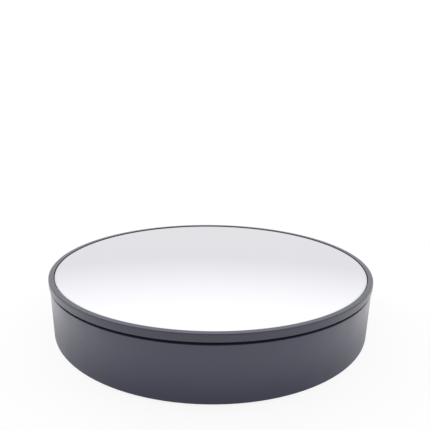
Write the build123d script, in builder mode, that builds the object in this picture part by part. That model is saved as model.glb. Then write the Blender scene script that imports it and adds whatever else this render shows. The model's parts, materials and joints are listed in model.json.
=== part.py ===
# Rotating display stand: a motor-driven turntable with a mirror top, in millimetres, +Z up.
# The origin is on the turning axis at table level. The front faces -Y, the switch and inlet face +Y.

from build123d import *
import math
import os

os.makedirs("parts", exist_ok=True)

# Fits shared by all pieces
running_fit = 0.06        # a shaft that turns in a hole
seat_fit = 0.03           # a pin or screw that stays put in its hole
loose_fit = 0.3           # a cover, door or button in its opening

# Turning top
platter_r = 100.0
rim_w = 2.74
rim_break = 0.7           # bevel on the rim's outer top edge
skirt_h = 3.65            # rim top down to the skirt's lower edge
skirt_rise = 0.9          # the skirt's underside slopes down by this much towards the plate
plate_t = 2.5
plate_gap = 0.85          # plate edge to the inside of the base's curb
platter_rib_count = 8
platter_rib_t = 1.6
platter_rib_h = 1.4
platter_rib_in_r = 42.0
platter_rib_gap = 7.0     # rib end to the middle of the rollers
hub_r = 7.5               # across the corners of the six-sided hub
hub_sides = 6
hub_cap_t = 0.9

# Mirror
mirror_t = 2.0
mirror_gap = 0.36
mirror_recess = 0.95
tape_t = 0.5
tape_inset = 5.4          # outer strips' corners to the mirror's edge
tape_w = 18.0
tape_pitch = 50.0
tape_count = 3

# Base housing
base_inset = 0.55         # base's upper edge inside the platter's
base_taper = 0.75
wall_t = 2.5
curb_t = 2.2
seam_w = 1.5              # dark line between the base and the turning top
deck_t = 2.0
turn_gap = 3.9            # deck to the underside of the platter
rib_t = 1.5
rib_h = 3.0
rib_in_r = 6.0
front_rib_angles = (240.0, 270.0, 300.0)
rear_rib_angles = (60.0, 90.0, 120.0)
rear_rib_gap = 3.0        # rib end to the control board

# Screws and pressed-in pieces are drawn six-sided, and so are their holes
screw_sides = 6

# Bottom cover and its screws
cover_t = 2.0
post_inset = 13.45        # post's middle to the base's upper edge
post_size = 8.0
post_count = 4
post_first_deg = 45.0
cup_r = 5.5
cup_h = 2.0
cover_screw_r = 1.45
cover_screw_l = 12.0
cover_head_r = 2.75
cover_head_h = 1.6
cover_head_sink = 0.8

# Rubber feet
foot_r = 6.0
foot_sides = 16
foot_h = 1.0
foot_count = 4
foot_inset = 13.45        # foot's middle to the base's upper edge

# Spindle: a shoulder pin that turns in a bush and keeps the platter down with its head
spindle_r = 3.0
spindle_head_r = 5.0
spindle_head_h = 1.5
spindle_play = 0.2
bush_wall = 1.2
bush_rise = 1.5           # bush above the deck, where the hub rests on it
boss_r = 7.5
boss_l = 12.0

# Support rollers
roller_r = 3.0
roller_sides = 24
roller_w = 5.0
roller_gap = 0.3
roller_inset = 20.0       # roller's middle to the platter's edge
roller_pin_r = 1.0
roller_pin_sides = 6
roller_angles = (90.0, 210.0, 330.0)
ear_t = 1.5
ear_w = 5.0
ear_side_gap = 0.25
ear_over_pin = 1.4
slot_gap = 0.8

# Last pair of gears, between the deck and the platter
drive_module = 1.0
platter_teeth = 50
pinion_teeth = 10
pinion_float = 0.6        # pinion above the deck
pinion_head_gap = 0.4     # pinion below the platter
gear_float = 0.8          # platter gear above the deck

# Reduction gears
train_module = 0.6
big_teeth = 32
small_teeth = 8
gear_t = 1.8
gear_play = 0.2
train_angle = 35.0        # degrees, so that the stages fold up short
gear_pin_r = 0.75
output_shaft_r = 1.5

# Tooth shape, as shares of the tooth pitch and of the module
big_root_share = 0.335
big_tip_share = 0.115
small_root_share = 0.24
small_tip_share = 0.09
big_addendum = 0.9
small_addendum = 1.0
dedendum = 1.25

# Gearbox shell
case_floor_t = 1.5
case_wall_t = 1.5
case_side_gap = 0.8
case_post_w = 4.4
lid_t = 1.5
lid_gap = 2.0             # lid to the underside of the deck
case_boss_w = 6.0
case_screw_r = 1.1
case_screw_bite = 3.4
case_head_r = 2.1
case_head_h = 1.4
output_bush_r = 3.0
output_bush_rise = 0.4
pinion_hole_r = 3.4

# Motor
motor_r = 10.0
motor_h = 10.0
motor_clear = 1.3         # above the bottom cover
motor_shaft_r = 1.0
motor_screw_r = 0.9
motor_screw_ring_r = 7.0
motor_screw_bite = 2.0
motor_head_r = 1.7
motor_head_h = 0.7
terminal_w = 1.6
terminal_t = 0.5
terminal_l = 3.0
terminal_pitch = 4.0

# Battery bay for four size AA cells, which are not part of the stand
cell_d = 14.5
cell_l = 50.5
cell_count = 4
cell_gap = 0.6
cell_head_gap = 0.7
contact_room = 3.25
bay_boss_gap = 4.8        # tub wall to the spindle's boss
bay_wall_t = 1.5
tab_w = 6.0
tab_t = 1.2
tab_reach = 1.6
tab_pitch = 30.0
tab_window_h = 1.9
finger_w = 14.0
finger_reach = 4.0
finger_t = 1.2
latch_slot_w = 1.0
latch_slot_l = 9.0
latch_w = 12.0
contact_t = 0.4
contact_w = 10.0
contact_h = 9.0
dimple_r = 2.6
dimple_tip_r = 2.0
dimple_h = 0.8
leaf_w = 6.0
leaf_bow = 2.4
leaf_flat = 2.5
tag_w = 3.0
tag_l = 3.2
tag_gap = 0.2

# Rear panel with the switch and the power inlet
panel_sink = 5.45         # panel's face to the drum's rearmost point
panel_t = 2.4
window_low = 4.0          # above the table
window_h = 16.0
switch_x = -20.0
switch_w = 13.6
switch_h = 9.0
switch_l = 13.0
bezel_w = 15.6
bezel_h = 11.0
bezel_t = 1.2
switch_wall_t = 0.6
rocker_w = 10.8
rocker_crest = 4.4
rocker_valley = 2.9
rocker_keel = 3.0
rocker_pivot_sink = 2.0   # pivot behind the panel's face
rocker_tilt = 9.0
cavity_l = 7.5
lug_w = 3.0
lug_t = 0.6
lug_l = 5.0
lug_pitch = 7.0
jack_x = 20.0
jack_w = 9.0
jack_l = 13.6
jack_h = 11.0
jack_axis_drop = 6.5      # barrel axis below the board
jack_bore_r = 3.2
jack_bore_l = 10.0
jack_pin_r = 1.0
jack_pin_l = 9.0
plug_hole_r = 4.0

# Control board
board_w = 66.0
board_d = 26.0
board_t = 1.6
board_back_gap = 6.0      # board edge to the panel's inner face
board_drop = 2.9          # board below the deck
board_boss_w = 6.0
board_screw_r = 1.1
board_screw_inset = 4.0
board_head_r = 2.1
board_head_h = 1.4
chip_w, chip_d, chip_t = 9.0, 6.0, 1.7
chip_shift = 4.0          # towards the panel from the board's middle line
coil_w, coil_t = 6.0, 3.0
coil_shift = -5.0
capacitor_w, capacitor_h = 6.0, 7.0
capacitor_shift = 2.0
pad_inset = 2.0           # solder pads to the board's front edge
motor_pad_x = (14.0, 18.0)
battery_pad_x = (-14.0, -8.0)
switch_pad_step = 4.0     # the switch's pads lie one row further back

# Wires
wire_r = 0.6
wire_sides = 6
wire_bend_r = 5.0
wire_bend_steps = 3

# Heights, from the table up. The inside is as high as its tallest stack.
cover_z = foot_h
floor_z = cover_z + cover_t
level_step = gear_t + gear_play
case_inside_h = 2 * level_step + gear_play
motor_stack = motor_clear + motor_h + case_floor_t + case_inside_h + lid_t + lid_gap
battery_stack = cell_d + cell_head_gap + bay_wall_t + rib_h
deck_under_z = floor_z + max(motor_stack, battery_stack)
deck_z = deck_under_z + deck_t
plate_z = deck_z + turn_gap
recess_z = plate_z + plate_t
mirror_z = recess_z + tape_t
rim_z = mirror_z + mirror_t + mirror_recess
skirt_z = rim_z - skirt_h
curb_z = skirt_z - seam_w
lid_top_z = deck_under_z - lid_gap
lid_z = lid_top_z - lid_t
case_floor_z = lid_z - case_inside_h
case_z = case_floor_z - case_floor_t
motor_z = case_z - motor_h
level_z = [case_floor_z + gear_play + k * level_step for k in range(2)]

# Radii and places that follow
base_top_r = platter_r - base_inset
base_low_r = base_top_r - base_taper
curb_in_r = base_top_r - curb_t
wall_in_r = base_low_r - wall_t
cover_r = wall_in_r - loose_fit
plate_r = curb_in_r - plate_gap
recess_r = platter_r - rim_w
mirror_r = recess_r - mirror_gap
tape_l = 2 * math.sqrt((mirror_r - tape_inset) ** 2 - (tape_pitch + tape_w / 2) ** 2)
post_ring_r = base_top_r - post_inset
foot_ring_r = base_top_r - foot_inset
roller_ring_r = platter_r - roller_inset
platter_rib_out_r = roller_ring_r - platter_rib_gap
panel_y = base_top_r - panel_sink
panel_seat_r = wall_in_r + wall_t / 2     # the panel's web ends inside the wall
bush_bore_r = spindle_r + running_fit
bush_r = (bush_bore_r + bush_wall) / math.cos(math.pi / screw_sides)
pin_seat_r = (gear_pin_r + seat_fit) / math.cos(math.pi / screw_sides)
boss_z = deck_under_z - boss_l
hub_z = deck_z + bush_rise
spindle_top_z = recess_z - hub_cap_t
spindle_head_z = boss_z - spindle_play
post_z = floor_z + cup_h
rib_z = deck_under_z - rib_h
into_deck = deck_t / 2
gear_z = deck_z + gear_float
pinion_z = deck_z + pinion_float
shaft_top_z = plate_z - pinion_head_gap

# Gear centres: the drive pinion meshes with the platter gear, and the stages fold back
drive_x = drive_module * (platter_teeth + pinion_teeth) / 2
stage_c = train_module * (big_teeth + small_teeth) / 2
big_tip_r = train_module * (big_teeth / 2 + big_addendum)
fold_x = stage_c * math.cos(math.radians(train_angle))
fold_y = stage_c * math.sin(math.radians(train_angle))
output_at = (drive_x, 0.0)
first_at = (drive_x + fold_x, fold_y)
motor_at = (drive_x + 2 * fold_x, 0.0)

# Inside of the gearbox, with a square post in each corner
case_x0 = output_at[0] - big_tip_r - case_side_gap
case_x1 = motor_at[0] + motor_r
case_y0 = output_at[1] - big_tip_r - case_side_gap - case_post_w / 2
case_y1 = first_at[1] + big_tip_r + case_side_gap
case_w, case_d = case_x1 - case_x0, case_y1 - case_y0
case_mid = ((case_x0 + case_x1) / 2, (case_y0 + case_y1) / 2)
motor_screw_spots = [(motor_at[0], motor_at[1] + side * motor_screw_ring_r) for side in (-1, 1)]
case_posts = [(x, y) for x in (case_x0 + case_post_w / 2, case_x1 - case_post_w / 2)
              for y in (case_y0 + case_post_w / 2, case_y1 - case_post_w / 2)]

# Battery bay
cell_pitch = cell_d + cell_gap
bay_w = cell_count * cell_pitch
bay_l = cell_l + 2 * contact_room
bay_x = -(boss_r + bay_boss_gap + bay_wall_t + bay_w / 2)
bay_top_z = floor_z + cell_d + cell_head_gap
door_w = bay_w - 2 * loose_fit
door_l = bay_l - 2 * loose_fit
hinge_x = bay_x + door_w / 2
contact_z = floor_z + cell_d / 2
cell_x = [bay_x + (k - (cell_count - 1) / 2) * cell_pitch for k in range(cell_count)]
front_y, back_y = -bay_l / 2, bay_l / 2

# Control board, switch and inlet
board_z = deck_under_z - board_drop - board_t
panel_in_y = panel_y - panel_t
board_y = panel_in_y - board_back_gap - board_d / 2
board_front_y = board_y - board_d / 2
board_spots = [(side * (board_w / 2 - board_screw_inset), board_front_y + board_screw_inset) for side in (-1, 1)]
jack_z = board_z - jack_axis_drop
switch_z = jack_z
switch_back_y = panel_y - switch_l
pivot_y = panel_y - rocker_pivot_sink


def polar(radius, degrees):
    return (radius * math.cos(math.radians(degrees)), radius * math.sin(math.radians(degrees)))


def gear_face(module, teeth, root_share, tip_share, addendum, phase):
    # straight-flanked teeth; phase is the angle of one tooth's middle, in radians
    root_r = module * (teeth / 2 - dedendum)
    tip_r = module * (teeth / 2 + addendum)
    pitch = 2 * math.pi / teeth
    corners = ((root_r, -root_share), (tip_r, -tip_share), (tip_r, tip_share), (root_r, root_share))
    points = []
    for tooth in range(teeth):
        for radius, share in corners:
            angle = phase + (tooth + share) * pitch
            points.append((radius * math.cos(angle), radius * math.sin(angle)))
    with BuildSketch() as face:
        with BuildLine():
            Polyline(*points, close=True)
        make_face()
    return face.sketch


def big_face(module, teeth, phase):
    return gear_face(module, teeth, big_root_share, big_tip_share, big_addendum, phase)


def small_face(module, teeth, phase):
    return gear_face(module, teeth, small_root_share, small_tip_share, small_addendum, phase)


def mesh_phase(phase, teeth, other_teeth, from_at, to_at):
    # phase of the other gear, so that one of its gaps faces this gear's teeth
    toward = math.atan2(to_at[1] - from_at[1], to_at[0] - from_at[0])
    return toward + math.pi + math.pi / other_teeth - (phase - toward) * teeth / other_teeth


def screw(shank_r, shank_l, head_r, head_h):
    # points up, with the underside of its head at height zero
    with BuildPart() as blank:
        with BuildSketch(Plane.XY.offset(-head_h)):
            RegularPolygon(head_r, screw_sides)
        extrude(amount=head_h)
        with BuildSketch():
            RegularPolygon(shank_r, screw_sides)
        extrude(amount=shank_l)
    return blank.part


def roller_plane(degrees):
    # on the roller's middle, with its normal along the roller's axle, away from the stand's centre
    x, y = polar(roller_ring_r, degrees)
    return Plane(origin=(x, y, roller_z), x_dir=(-y, x, 0), z_dir=(x, y, 0))


def wire(start, corner, end):
    # level from the start to below the end, round a bend of a few short runs, and up
    along = Vector(corner) - Vector(start)
    along = along.normalized()
    centre = Vector(corner) - along * wire_bend_r + Vector(0, 0, wire_bend_r)
    points = [Vector(start)]
    for step in range(wire_bend_steps + 1):
        turn = math.pi / 2 * step / wire_bend_steps
        points.append(centre + (along * math.sin(turn) - Vector(0, 0, math.cos(turn))) * wire_bend_r)
    points.append(Vector(end))
    with BuildPart() as run:
        with BuildLine() as route:
            Polyline(*points)
        with BuildSketch(Plane(origin=start, z_dir=along)):
            RegularPolygon(wire_r, wire_sides)
        sweep(path=route.line, transition=Transition.RIGHT)
    return run.part


roller_z = plate_z - roller_gap - roller_r
roller_planes = [roller_plane(angle) for angle in roller_angles]
post_spots = [polar(post_ring_r, post_first_deg + k * 360 / post_count) for k in range(post_count)]
foot_spots = [polar(foot_ring_r, k * 360 / foot_count) for k in range(foot_count)]
rear_plane = Plane.XZ.offset(-panel_y)    # local x is +X, local y is +Z, and it faces into the base

# Base housing: drum wall, curb, deck and bush boss in one moulding, open below
with BuildPart() as base_housing:
    with BuildSketch(Plane.XZ):
        with BuildLine():
            Polyline(
                (curb_in_r, deck_z), (curb_in_r, curb_z),
                (base_top_r, curb_z), (base_low_r, cover_z), (wall_in_r, cover_z),
                (wall_in_r, deck_under_z), (0, deck_under_z), (0, deck_z), close=True)
        make_face()
    revolve(axis=Axis.Z)
    # flat web behind the rear window
    with BuildSketch(Plane.XY.offset(floor_z)):
        Circle(panel_seat_r)
        with Locations((0, panel_in_y)):
            Rectangle(2 * base_top_r, base_top_r, align=(Align.CENTER, Align.MIN), mode=Mode.INTERSECT)
    extrude(amount=deck_under_z - floor_z + into_deck)
    with BuildSketch(Plane.XY.offset(window_low)):
        with Locations((0, panel_y)):
            Rectangle(2 * base_top_r, base_top_r, align=(Align.CENTER, Align.MIN))
    extrude(amount=window_h, mode=Mode.SUBTRACT)
    # square posts for the cover screws, tied to the wall
    post_reach = wall_in_r + wall_t / 2 - post_ring_r + post_size / 2
    with BuildSketch(Plane.XY.offset(post_z)):
        with PolarLocations(post_ring_r - post_size / 2 + post_reach / 2, post_count, post_first_deg):
            Rectangle(post_reach, post_size)
    extrude(amount=deck_under_z - post_z + into_deck)
    # ribs under the deck, to the wall in front and to the board behind
    with BuildSketch(Plane.XY.offset(rib_z)):
        for angle in front_rib_angles + rear_rib_angles:
            rib_end = wall_in_r + wall_t / 2
            if angle in rear_rib_angles:
                rib_end = (board_front_y - rear_rib_gap) / math.sin(math.radians(angle))
            with PolarLocations((rib_in_r + rib_end) / 2, 1, angle):
                Rectangle(rib_end - rib_in_r, rib_t)
    extrude(amount=rib_h + into_deck)
    # bosses for the gearbox and the board
    with BuildSketch(Plane.XY.offset(lid_top_z)):
        with Locations(*case_posts):
            Rectangle(case_boss_w, case_boss_w)
    extrude(amount=lid_gap + into_deck)
    with BuildSketch(Plane.XY.offset(board_z + board_t)):
        with Locations(*board_spots):
            Rectangle(board_boss_w, board_boss_w)
    extrude(amount=board_drop + into_deck)
    # six-sided boss for the spindle's bush, and the seat through it
    with BuildSketch(Plane.XY.offset(boss_z)):
        RegularPolygon(boss_r, screw_sides)
    extrude(amount=boss_l + into_deck)
    with BuildSketch(Plane.XY.offset(boss_z)):
        RegularPolygon(bush_r + seat_fit, screw_sides)
    extrude(amount=deck_z - boss_z, mode=Mode.SUBTRACT)
    # roller slots, and the notched ears that hold the roller pins
    with BuildSketch(Plane.XY.offset(deck_under_z)):
        with PolarLocations(roller_ring_r, len(roller_angles), roller_angles[0]):
            Rectangle(roller_w + 2 * ear_side_gap, 2 * (roller_r + slot_gap))
    extrude(amount=deck_t, mode=Mode.SUBTRACT)
    with BuildSketch(Plane.XY.offset(deck_z)):
        with PolarLocations(roller_ring_r, len(roller_angles), roller_angles[0]):
            with GridLocations(roller_w + 2 * ear_side_gap + ear_t, 0, 2, 1):
                Rectangle(ear_t, ear_w)
    extrude(amount=roller_z + ear_over_pin - deck_z)
    with BuildSketch(Plane.XY.offset(roller_z - roller_pin_r * math.cos(math.pi / roller_pin_sides))):
        with PolarLocations(roller_ring_r, len(roller_angles), roller_angles[0]):
            Rectangle(roller_w + 2 * ear_side_gap + 3 * ear_t, 2 * (roller_pin_r + seat_fit))
    extrude(amount=2 * roller_r, mode=Mode.SUBTRACT)
    # output bush seat, screw pilots, switch cut-out and plug hole
    with BuildSketch(Plane.XY.offset(deck_under_z)):
        with Locations(output_at):
            RegularPolygon(output_bush_r + seat_fit, screw_sides)
    extrude(amount=deck_t, mode=Mode.SUBTRACT)
    with BuildSketch(Plane.XY.offset(post_z)):
        with Locations(*post_spots):
            RegularPolygon(cover_screw_r + seat_fit, screw_sides)
    extrude(amount=cover_screw_l, mode=Mode.SUBTRACT)
    with BuildSketch(Plane.XY.offset(lid_top_z)):
        with Locations(*case_posts):
            RegularPolygon(case_screw_r + seat_fit, screw_sides)
    extrude(amount=case_screw_bite + seat_fit, mode=Mode.SUBTRACT)
    with BuildSketch(Plane.XY.offset(board_z + board_t)):
        with Locations(*board_spots):
            RegularPolygon(board_screw_r + seat_fit, screw_sides)
    extrude(amount=board_drop + seat_fit, mode=Mode.SUBTRACT)
    with BuildSketch(rear_plane):
        with Locations((switch_x, switch_z)):
            Rectangle(switch_w + 2 * seat_fit, switch_h + 2 * seat_fit)
        with Locations((jack_x, jack_z)):
            Circle(plug_hole_r)
    extrude(amount=panel_t, mode=Mode.SUBTRACT)
base_housing.part.label = "base_housing"
export_step(base_housing.part, "parts/base_housing.step")

# Bottom cover, with the battery tub standing on it
with BuildPart() as bottom_cover:
    with BuildSketch(Plane.XY.offset(cover_z)):
        Circle(cover_r)
    extrude(amount=cover_t)
    with BuildSketch(Plane.XY.offset(floor_z)):
        with Locations((bay_x, 0)):
            Rectangle(bay_w + 2 * bay_wall_t, bay_l + 2 * bay_wall_t)
    extrude(amount=bay_top_z + bay_wall_t - floor_z)
    with BuildSketch(Plane.XY.offset(floor_z)):
        with Locations(*post_spots):
            RegularPolygon(cup_r, screw_sides)
    extrude(amount=cup_h)
    with BuildSketch(Plane.XY.offset(cover_z)):
        with Locations((bay_x, 0)):
            Rectangle(bay_w, bay_l)
    extrude(amount=bay_top_z - cover_z, mode=Mode.SUBTRACT)
    # screw holes with sunk heads
    with BuildSketch(Plane.XY.offset(cover_z)):
        with Locations(*post_spots):
            RegularPolygon(cover_screw_r + loose_fit, screw_sides)
    extrude(amount=cover_t + cup_h, mode=Mode.SUBTRACT)
    with BuildSketch(Plane.XY.offset(cover_z)):
        with Locations(*post_spots):
            RegularPolygon(cover_head_r + loose_fit, screw_sides)
    extrude(amount=cover_head_sink + cover_head_h, mode=Mode.SUBTRACT)
    # windows for the door's tabs, and a scoop for a finger at its latch
    with BuildSketch(Plane.XY.offset(floor_z)):
        with Locations((bay_x + bay_w / 2, 0)):
            with GridLocations(0, tab_pitch, 1, 2):
                Rectangle(4 * bay_wall_t, tab_w + 2 * loose_fit)
    extrude(amount=tab_window_h, mode=Mode.SUBTRACT)
    with BuildSketch(Plane.XY.offset(cover_z)):
        with Locations((bay_x - bay_w / 2, 0)):
            Rectangle(2 * finger_reach, finger_w)
    extrude(amount=finger_t, mode=Mode.SUBTRACT)
    # slits that let the contact tags out
    with BuildSketch(Plane.XY.offset(contact_z - contact_t / 2 - tag_gap)):
        with Locations((cell_x[0], back_y), (cell_x[-1], back_y)):
            Rectangle(tag_w + 2 * tag_gap, 4 * bay_wall_t)
    extrude(amount=contact_t + 2 * tag_gap, mode=Mode.SUBTRACT)
bottom_cover.part.label = "bottom_cover"
export_step(bottom_cover.part, "parts/bottom_cover.step")

# Battery door: a plate with two tabs at the hinge and a slit latch at the far edge
with BuildPart() as battery_door:
    with BuildSketch(Plane.XY.offset(cover_z)):
        with Locations((bay_x, 0)):
            Rectangle(door_w, door_l)
        with Locations((bay_x - door_w / 2, 0)):
            with GridLocations(0, latch_w + latch_slot_w, 1, 2):
                Rectangle(2 * latch_slot_l, latch_slot_w, mode=Mode.SUBTRACT)
    extrude(amount=cover_t)
    with BuildSketch(Plane.XY.offset(floor_z)):
        with Locations((hinge_x, 0)):
            with GridLocations(0, tab_pitch, 1, 2):
                Rectangle(2 * tab_reach, tab_w)
    extrude(amount=tab_t)
battery_door.part.label = "battery_door"
export_step(battery_door.part, "parts/battery_door.step")

with BuildPart() as rubber_feet:
    with BuildSketch(Plane.XY):
        with Locations(*foot_spots):
            RegularPolygon(foot_r, foot_sides)
    extrude(amount=foot_h)
rubber_feet.part.label = "rubber_feet"
export_step(rubber_feet.part, "parts/rubber_feet.step")

cover_screw = screw(cover_screw_r, cover_screw_l, cover_head_r, cover_head_h)
with BuildPart() as cover_screws:
    with Locations(*[(x, y, cover_z + cover_head_sink + cover_head_h) for x, y in post_spots]):
        add(cover_screw)
cover_screws.part.label = "cover_screws"
export_step(cover_screws.part, "parts/cover_screws.step")

# Spindle and its bush
with BuildPart() as spindle_bush:
    with BuildSketch(Plane.XY.offset(boss_z)):
        RegularPolygon(bush_r, screw_sides)
        Circle(bush_bore_r, mode=Mode.SUBTRACT)
    extrude(amount=hub_z - boss_z)
spindle_bush.part.label = "spindle_bush"
export_step(spindle_bush.part, "parts/spindle_bush.step")

with BuildPart() as spindle:
    with BuildSketch(Plane.XY.offset(spindle_head_z - spindle_head_h)):
        RegularPolygon(spindle_head_r, screw_sides)
    extrude(amount=spindle_head_h)
    with BuildSketch(Plane.XY.offset(spindle_head_z)):
        Circle(spindle_r)
    extrude(amount=spindle_top_z - spindle_head_z)
spindle.part.label = "spindle"
export_step(spindle.part, "parts/spindle.step")

# Rollers that take the load of a tipped platter, on pins in the deck's ears
for number, plane in enumerate(roller_planes, 1):
    with BuildPart() as roller:
        with BuildSketch(plane):
            RegularPolygon(roller_r, roller_sides)
            Circle(roller_pin_r + running_fit, mode=Mode.SUBTRACT)
        extrude(amount=roller_w / 2, both=True)
    roller.part.label = f"roller_{number}"
    export_step(roller.part, f"parts/roller_{number}.step")

with BuildPart() as roller_pins:
    with BuildSketch(*roller_planes):
        RegularPolygon(roller_pin_r, roller_pin_sides)
    extrude(amount=roller_w / 2 + ear_side_gap + ear_t, both=True)
roller_pins.part.label = "roller_pins"
export_step(roller_pins.part, "parts/roller_pins.step")

# Platter: rim, skirt and plate turned in one profile, with a six-sided hub and ribs below
with BuildPart() as platter:
    with BuildSketch(Plane.XZ):
        with BuildLine():
            Polyline(
                (0, recess_z), (recess_r, recess_z), (recess_r, rim_z), (platter_r - rim_break, rim_z),
                (platter_r, rim_z - rim_break), (platter_r, skirt_z), (plate_r, skirt_z - skirt_rise),
                (plate_r, plate_z), (0, plate_z), close=True)
        make_face()
    revolve(axis=Axis.Z)
    with BuildSketch(Plane.XY.offset(hub_z)):
        RegularPolygon(hub_r, hub_sides)
    extrude(amount=plate_z - hub_z + plate_t / 2)
    with BuildSketch(Plane.XY.offset(plate_z - platter_rib_h)):
        with PolarLocations((platter_rib_in_r + platter_rib_out_r) / 2, platter_rib_count):
            Rectangle(platter_rib_out_r - platter_rib_in_r, platter_rib_t)
    extrude(amount=platter_rib_h + plate_t / 2)
    with BuildSketch(Plane.XY.offset(hub_z)):
        Circle(spindle_r + seat_fit)
    extrude(amount=spindle_top_z - hub_z, mode=Mode.SUBTRACT)
platter.part.label = "platter"
export_step(platter.part, "parts/platter.step")

with BuildPart() as mirror:
    with BuildSketch(Plane.XY.offset(mirror_z)):
        Circle(mirror_r)
    extrude(amount=mirror_t)
mirror.part.label = "mirror"
export_step(mirror.part, "parts/mirror.step")

with BuildPart() as mirror_tape:
    with BuildSketch(Plane.XY.offset(recess_z)):
        with GridLocations(0, tape_pitch, 1, tape_count):
            Rectangle(tape_l, tape_w)
    extrude(amount=tape_t)
mirror_tape.part.label = "mirror_tape"
export_step(mirror_tape.part, "parts/mirror_tape.step")

with BuildPart() as platter_gear:
    with BuildSketch(Plane.XY.offset(gear_z)):
        add(big_face(drive_module, platter_teeth, 0.0))
        RegularPolygon(hub_r + seat_fit, hub_sides, mode=Mode.SUBTRACT)
    extrude(amount=plate_z - gear_z)
platter_gear.part.label = "platter_gear"
export_step(platter_gear.part, "parts/platter_gear.step")

# Reduction gears: motor pinion, first gear and output gear, on two levels
pinion_phase = mesh_phase(0.0, platter_teeth, pinion_teeth, (0.0, 0.0), output_at)
first_small_phase = mesh_phase(0.0, big_teeth, small_teeth, output_at, first_at)
motor_small_phase = mesh_phase(0.0, big_teeth, small_teeth, first_at, motor_at)

with BuildPart() as first_gear:
    with BuildSketch(Plane.XY.offset(level_z[0])):
        with Locations(first_at):
            add(big_face(train_module, big_teeth, 0.0))
    extrude(amount=gear_t)
    with BuildSketch(Plane.XY.offset(level_z[0] + gear_t)):
        with Locations(first_at):
            add(small_face(train_module, small_teeth, first_small_phase))
    extrude(amount=level_step)
    with BuildSketch(Plane.XY.offset(level_z[0])):
        with Locations(first_at):
            Circle(gear_pin_r + running_fit)
    extrude(amount=gear_t + level_step, mode=Mode.SUBTRACT)
first_gear.part.label = "first_gear"
export_step(first_gear.part, "parts/first_gear.step")

with BuildPart() as output_gear:
    with BuildSketch(Plane.XY.offset(level_z[1])):
        with Locations(output_at):
            add(big_face(train_module, big_teeth, 0.0))
            Circle(output_shaft_r + seat_fit, mode=Mode.SUBTRACT)
    extrude(amount=gear_t)
output_gear.part.label = "output_gear"
export_step(output_gear.part, "parts/output_gear.step")

with BuildPart() as output_shaft:
    with BuildSketch(Plane.XY.offset(case_floor_z - case_floor_t / 2)):
        with Locations(output_at):
            Circle(output_shaft_r)
    extrude(amount=shaft_top_z - case_floor_z + case_floor_t / 2)
output_shaft.part.label = "output_shaft"
export_step(output_shaft.part, "parts/output_shaft.step")

with BuildPart() as drive_pinion:
    with BuildSketch(Plane.XY.offset(pinion_z)):
        with Locations(output_at):
            add(small_face(drive_module, pinion_teeth, pinion_phase))
            Circle(output_shaft_r + seat_fit, mode=Mode.SUBTRACT)
    extrude(amount=shaft_top_z - pinion_z)
drive_pinion.part.label = "drive_pinion"
export_step(drive_pinion.part, "parts/drive_pinion.step")

with BuildPart() as output_bush:
    with BuildSketch(Plane.XY.offset(deck_under_z)):
        with Locations(output_at):
            RegularPolygon(output_bush_r, screw_sides)
            Circle(output_shaft_r + running_fit, mode=Mode.SUBTRACT)
    extrude(amount=deck_t + output_bush_rise)
output_bush.part.label = "output_bush"
export_step(output_bush.part, "parts/output_bush.step")

with BuildPart() as gear_pin:
    with BuildSketch(Plane.XY.offset(case_floor_z - case_floor_t / 2)):
        with Locations(first_at):
            Circle(gear_pin_r)
    extrude(amount=case_floor_t / 2 + case_inside_h + lid_t / 2)
gear_pin.part.label = "gear_pin"
export_step(gear_pin.part, "parts/gear_pin.step")

# Gearbox shell: a tray and its lid, both held by four long screws into the deck
with BuildPart() as gearbox_case:
    with BuildSketch(Plane.XY.offset(case_z)):
        with Locations(case_mid):
            Rectangle(case_w + 2 * case_wall_t, case_d + 2 * case_wall_t)
    extrude(amount=lid_z - case_z)
    with BuildSketch(Plane.XY.offset(case_floor_z)):
        with Locations(case_mid):
            Rectangle(case_w, case_d)
        with Locations(*case_posts):
            Rectangle(case_post_w, case_post_w, mode=Mode.SUBTRACT)
    extrude(amount=lid_z - case_floor_z, mode=Mode.SUBTRACT)
    with BuildSketch(Plane.XY.offset(case_z)):
        with Locations(*case_posts):
            RegularPolygon(case_screw_r + seat_fit, screw_sides)
    extrude(amount=lid_z - case_z, mode=Mode.SUBTRACT)
    with BuildSketch(Plane.XY.offset(case_z)):
        with Locations(motor_at):
            RegularPolygon(pinion_hole_r, screw_sides)
        with Locations(*motor_screw_spots):
            RegularPolygon(motor_screw_r + seat_fit, screw_sides)
    extrude(amount=case_floor_t, mode=Mode.SUBTRACT)
    with BuildSketch(Plane.XY.offset(case_floor_z - motor_head_h)):
        with Locations(*motor_screw_spots):
            RegularPolygon(motor_head_r + seat_fit, screw_sides)
    extrude(amount=motor_head_h, mode=Mode.SUBTRACT)
    with BuildSketch(Plane.XY.offset(case_floor_z - case_floor_t / 2)):
        with Locations(first_at):
            RegularPolygon(pin_seat_r, screw_sides)
        with Locations(output_at):
            Circle(output_shaft_r + running_fit)
    extrude(amount=case_floor_t / 2, mode=Mode.SUBTRACT)
gearbox_case.part.label = "gearbox_case"
export_step(gearbox_case.part, "parts/gearbox_case.step")

with BuildPart() as gearbox_lid:
    with BuildSketch(Plane.XY.offset(lid_z)):
        with Locations(case_mid):
            Rectangle(case_w + 2 * case_wall_t, case_d + 2 * case_wall_t)
        with Locations(*case_posts):
            RegularPolygon(case_screw_r + seat_fit, screw_sides, mode=Mode.SUBTRACT)
        with Locations(output_at):
            RegularPolygon(output_bush_r, screw_sides, mode=Mode.SUBTRACT)
    extrude(amount=lid_t)
    with BuildSketch(Plane.XY.offset(lid_z)):
        with Locations(first_at):
            RegularPolygon(pin_seat_r, screw_sides)
    extrude(amount=lid_t / 2, mode=Mode.SUBTRACT)
gearbox_lid.part.label = "gearbox_lid"
export_step(gearbox_lid.part, "parts/gearbox_lid.step")

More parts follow.
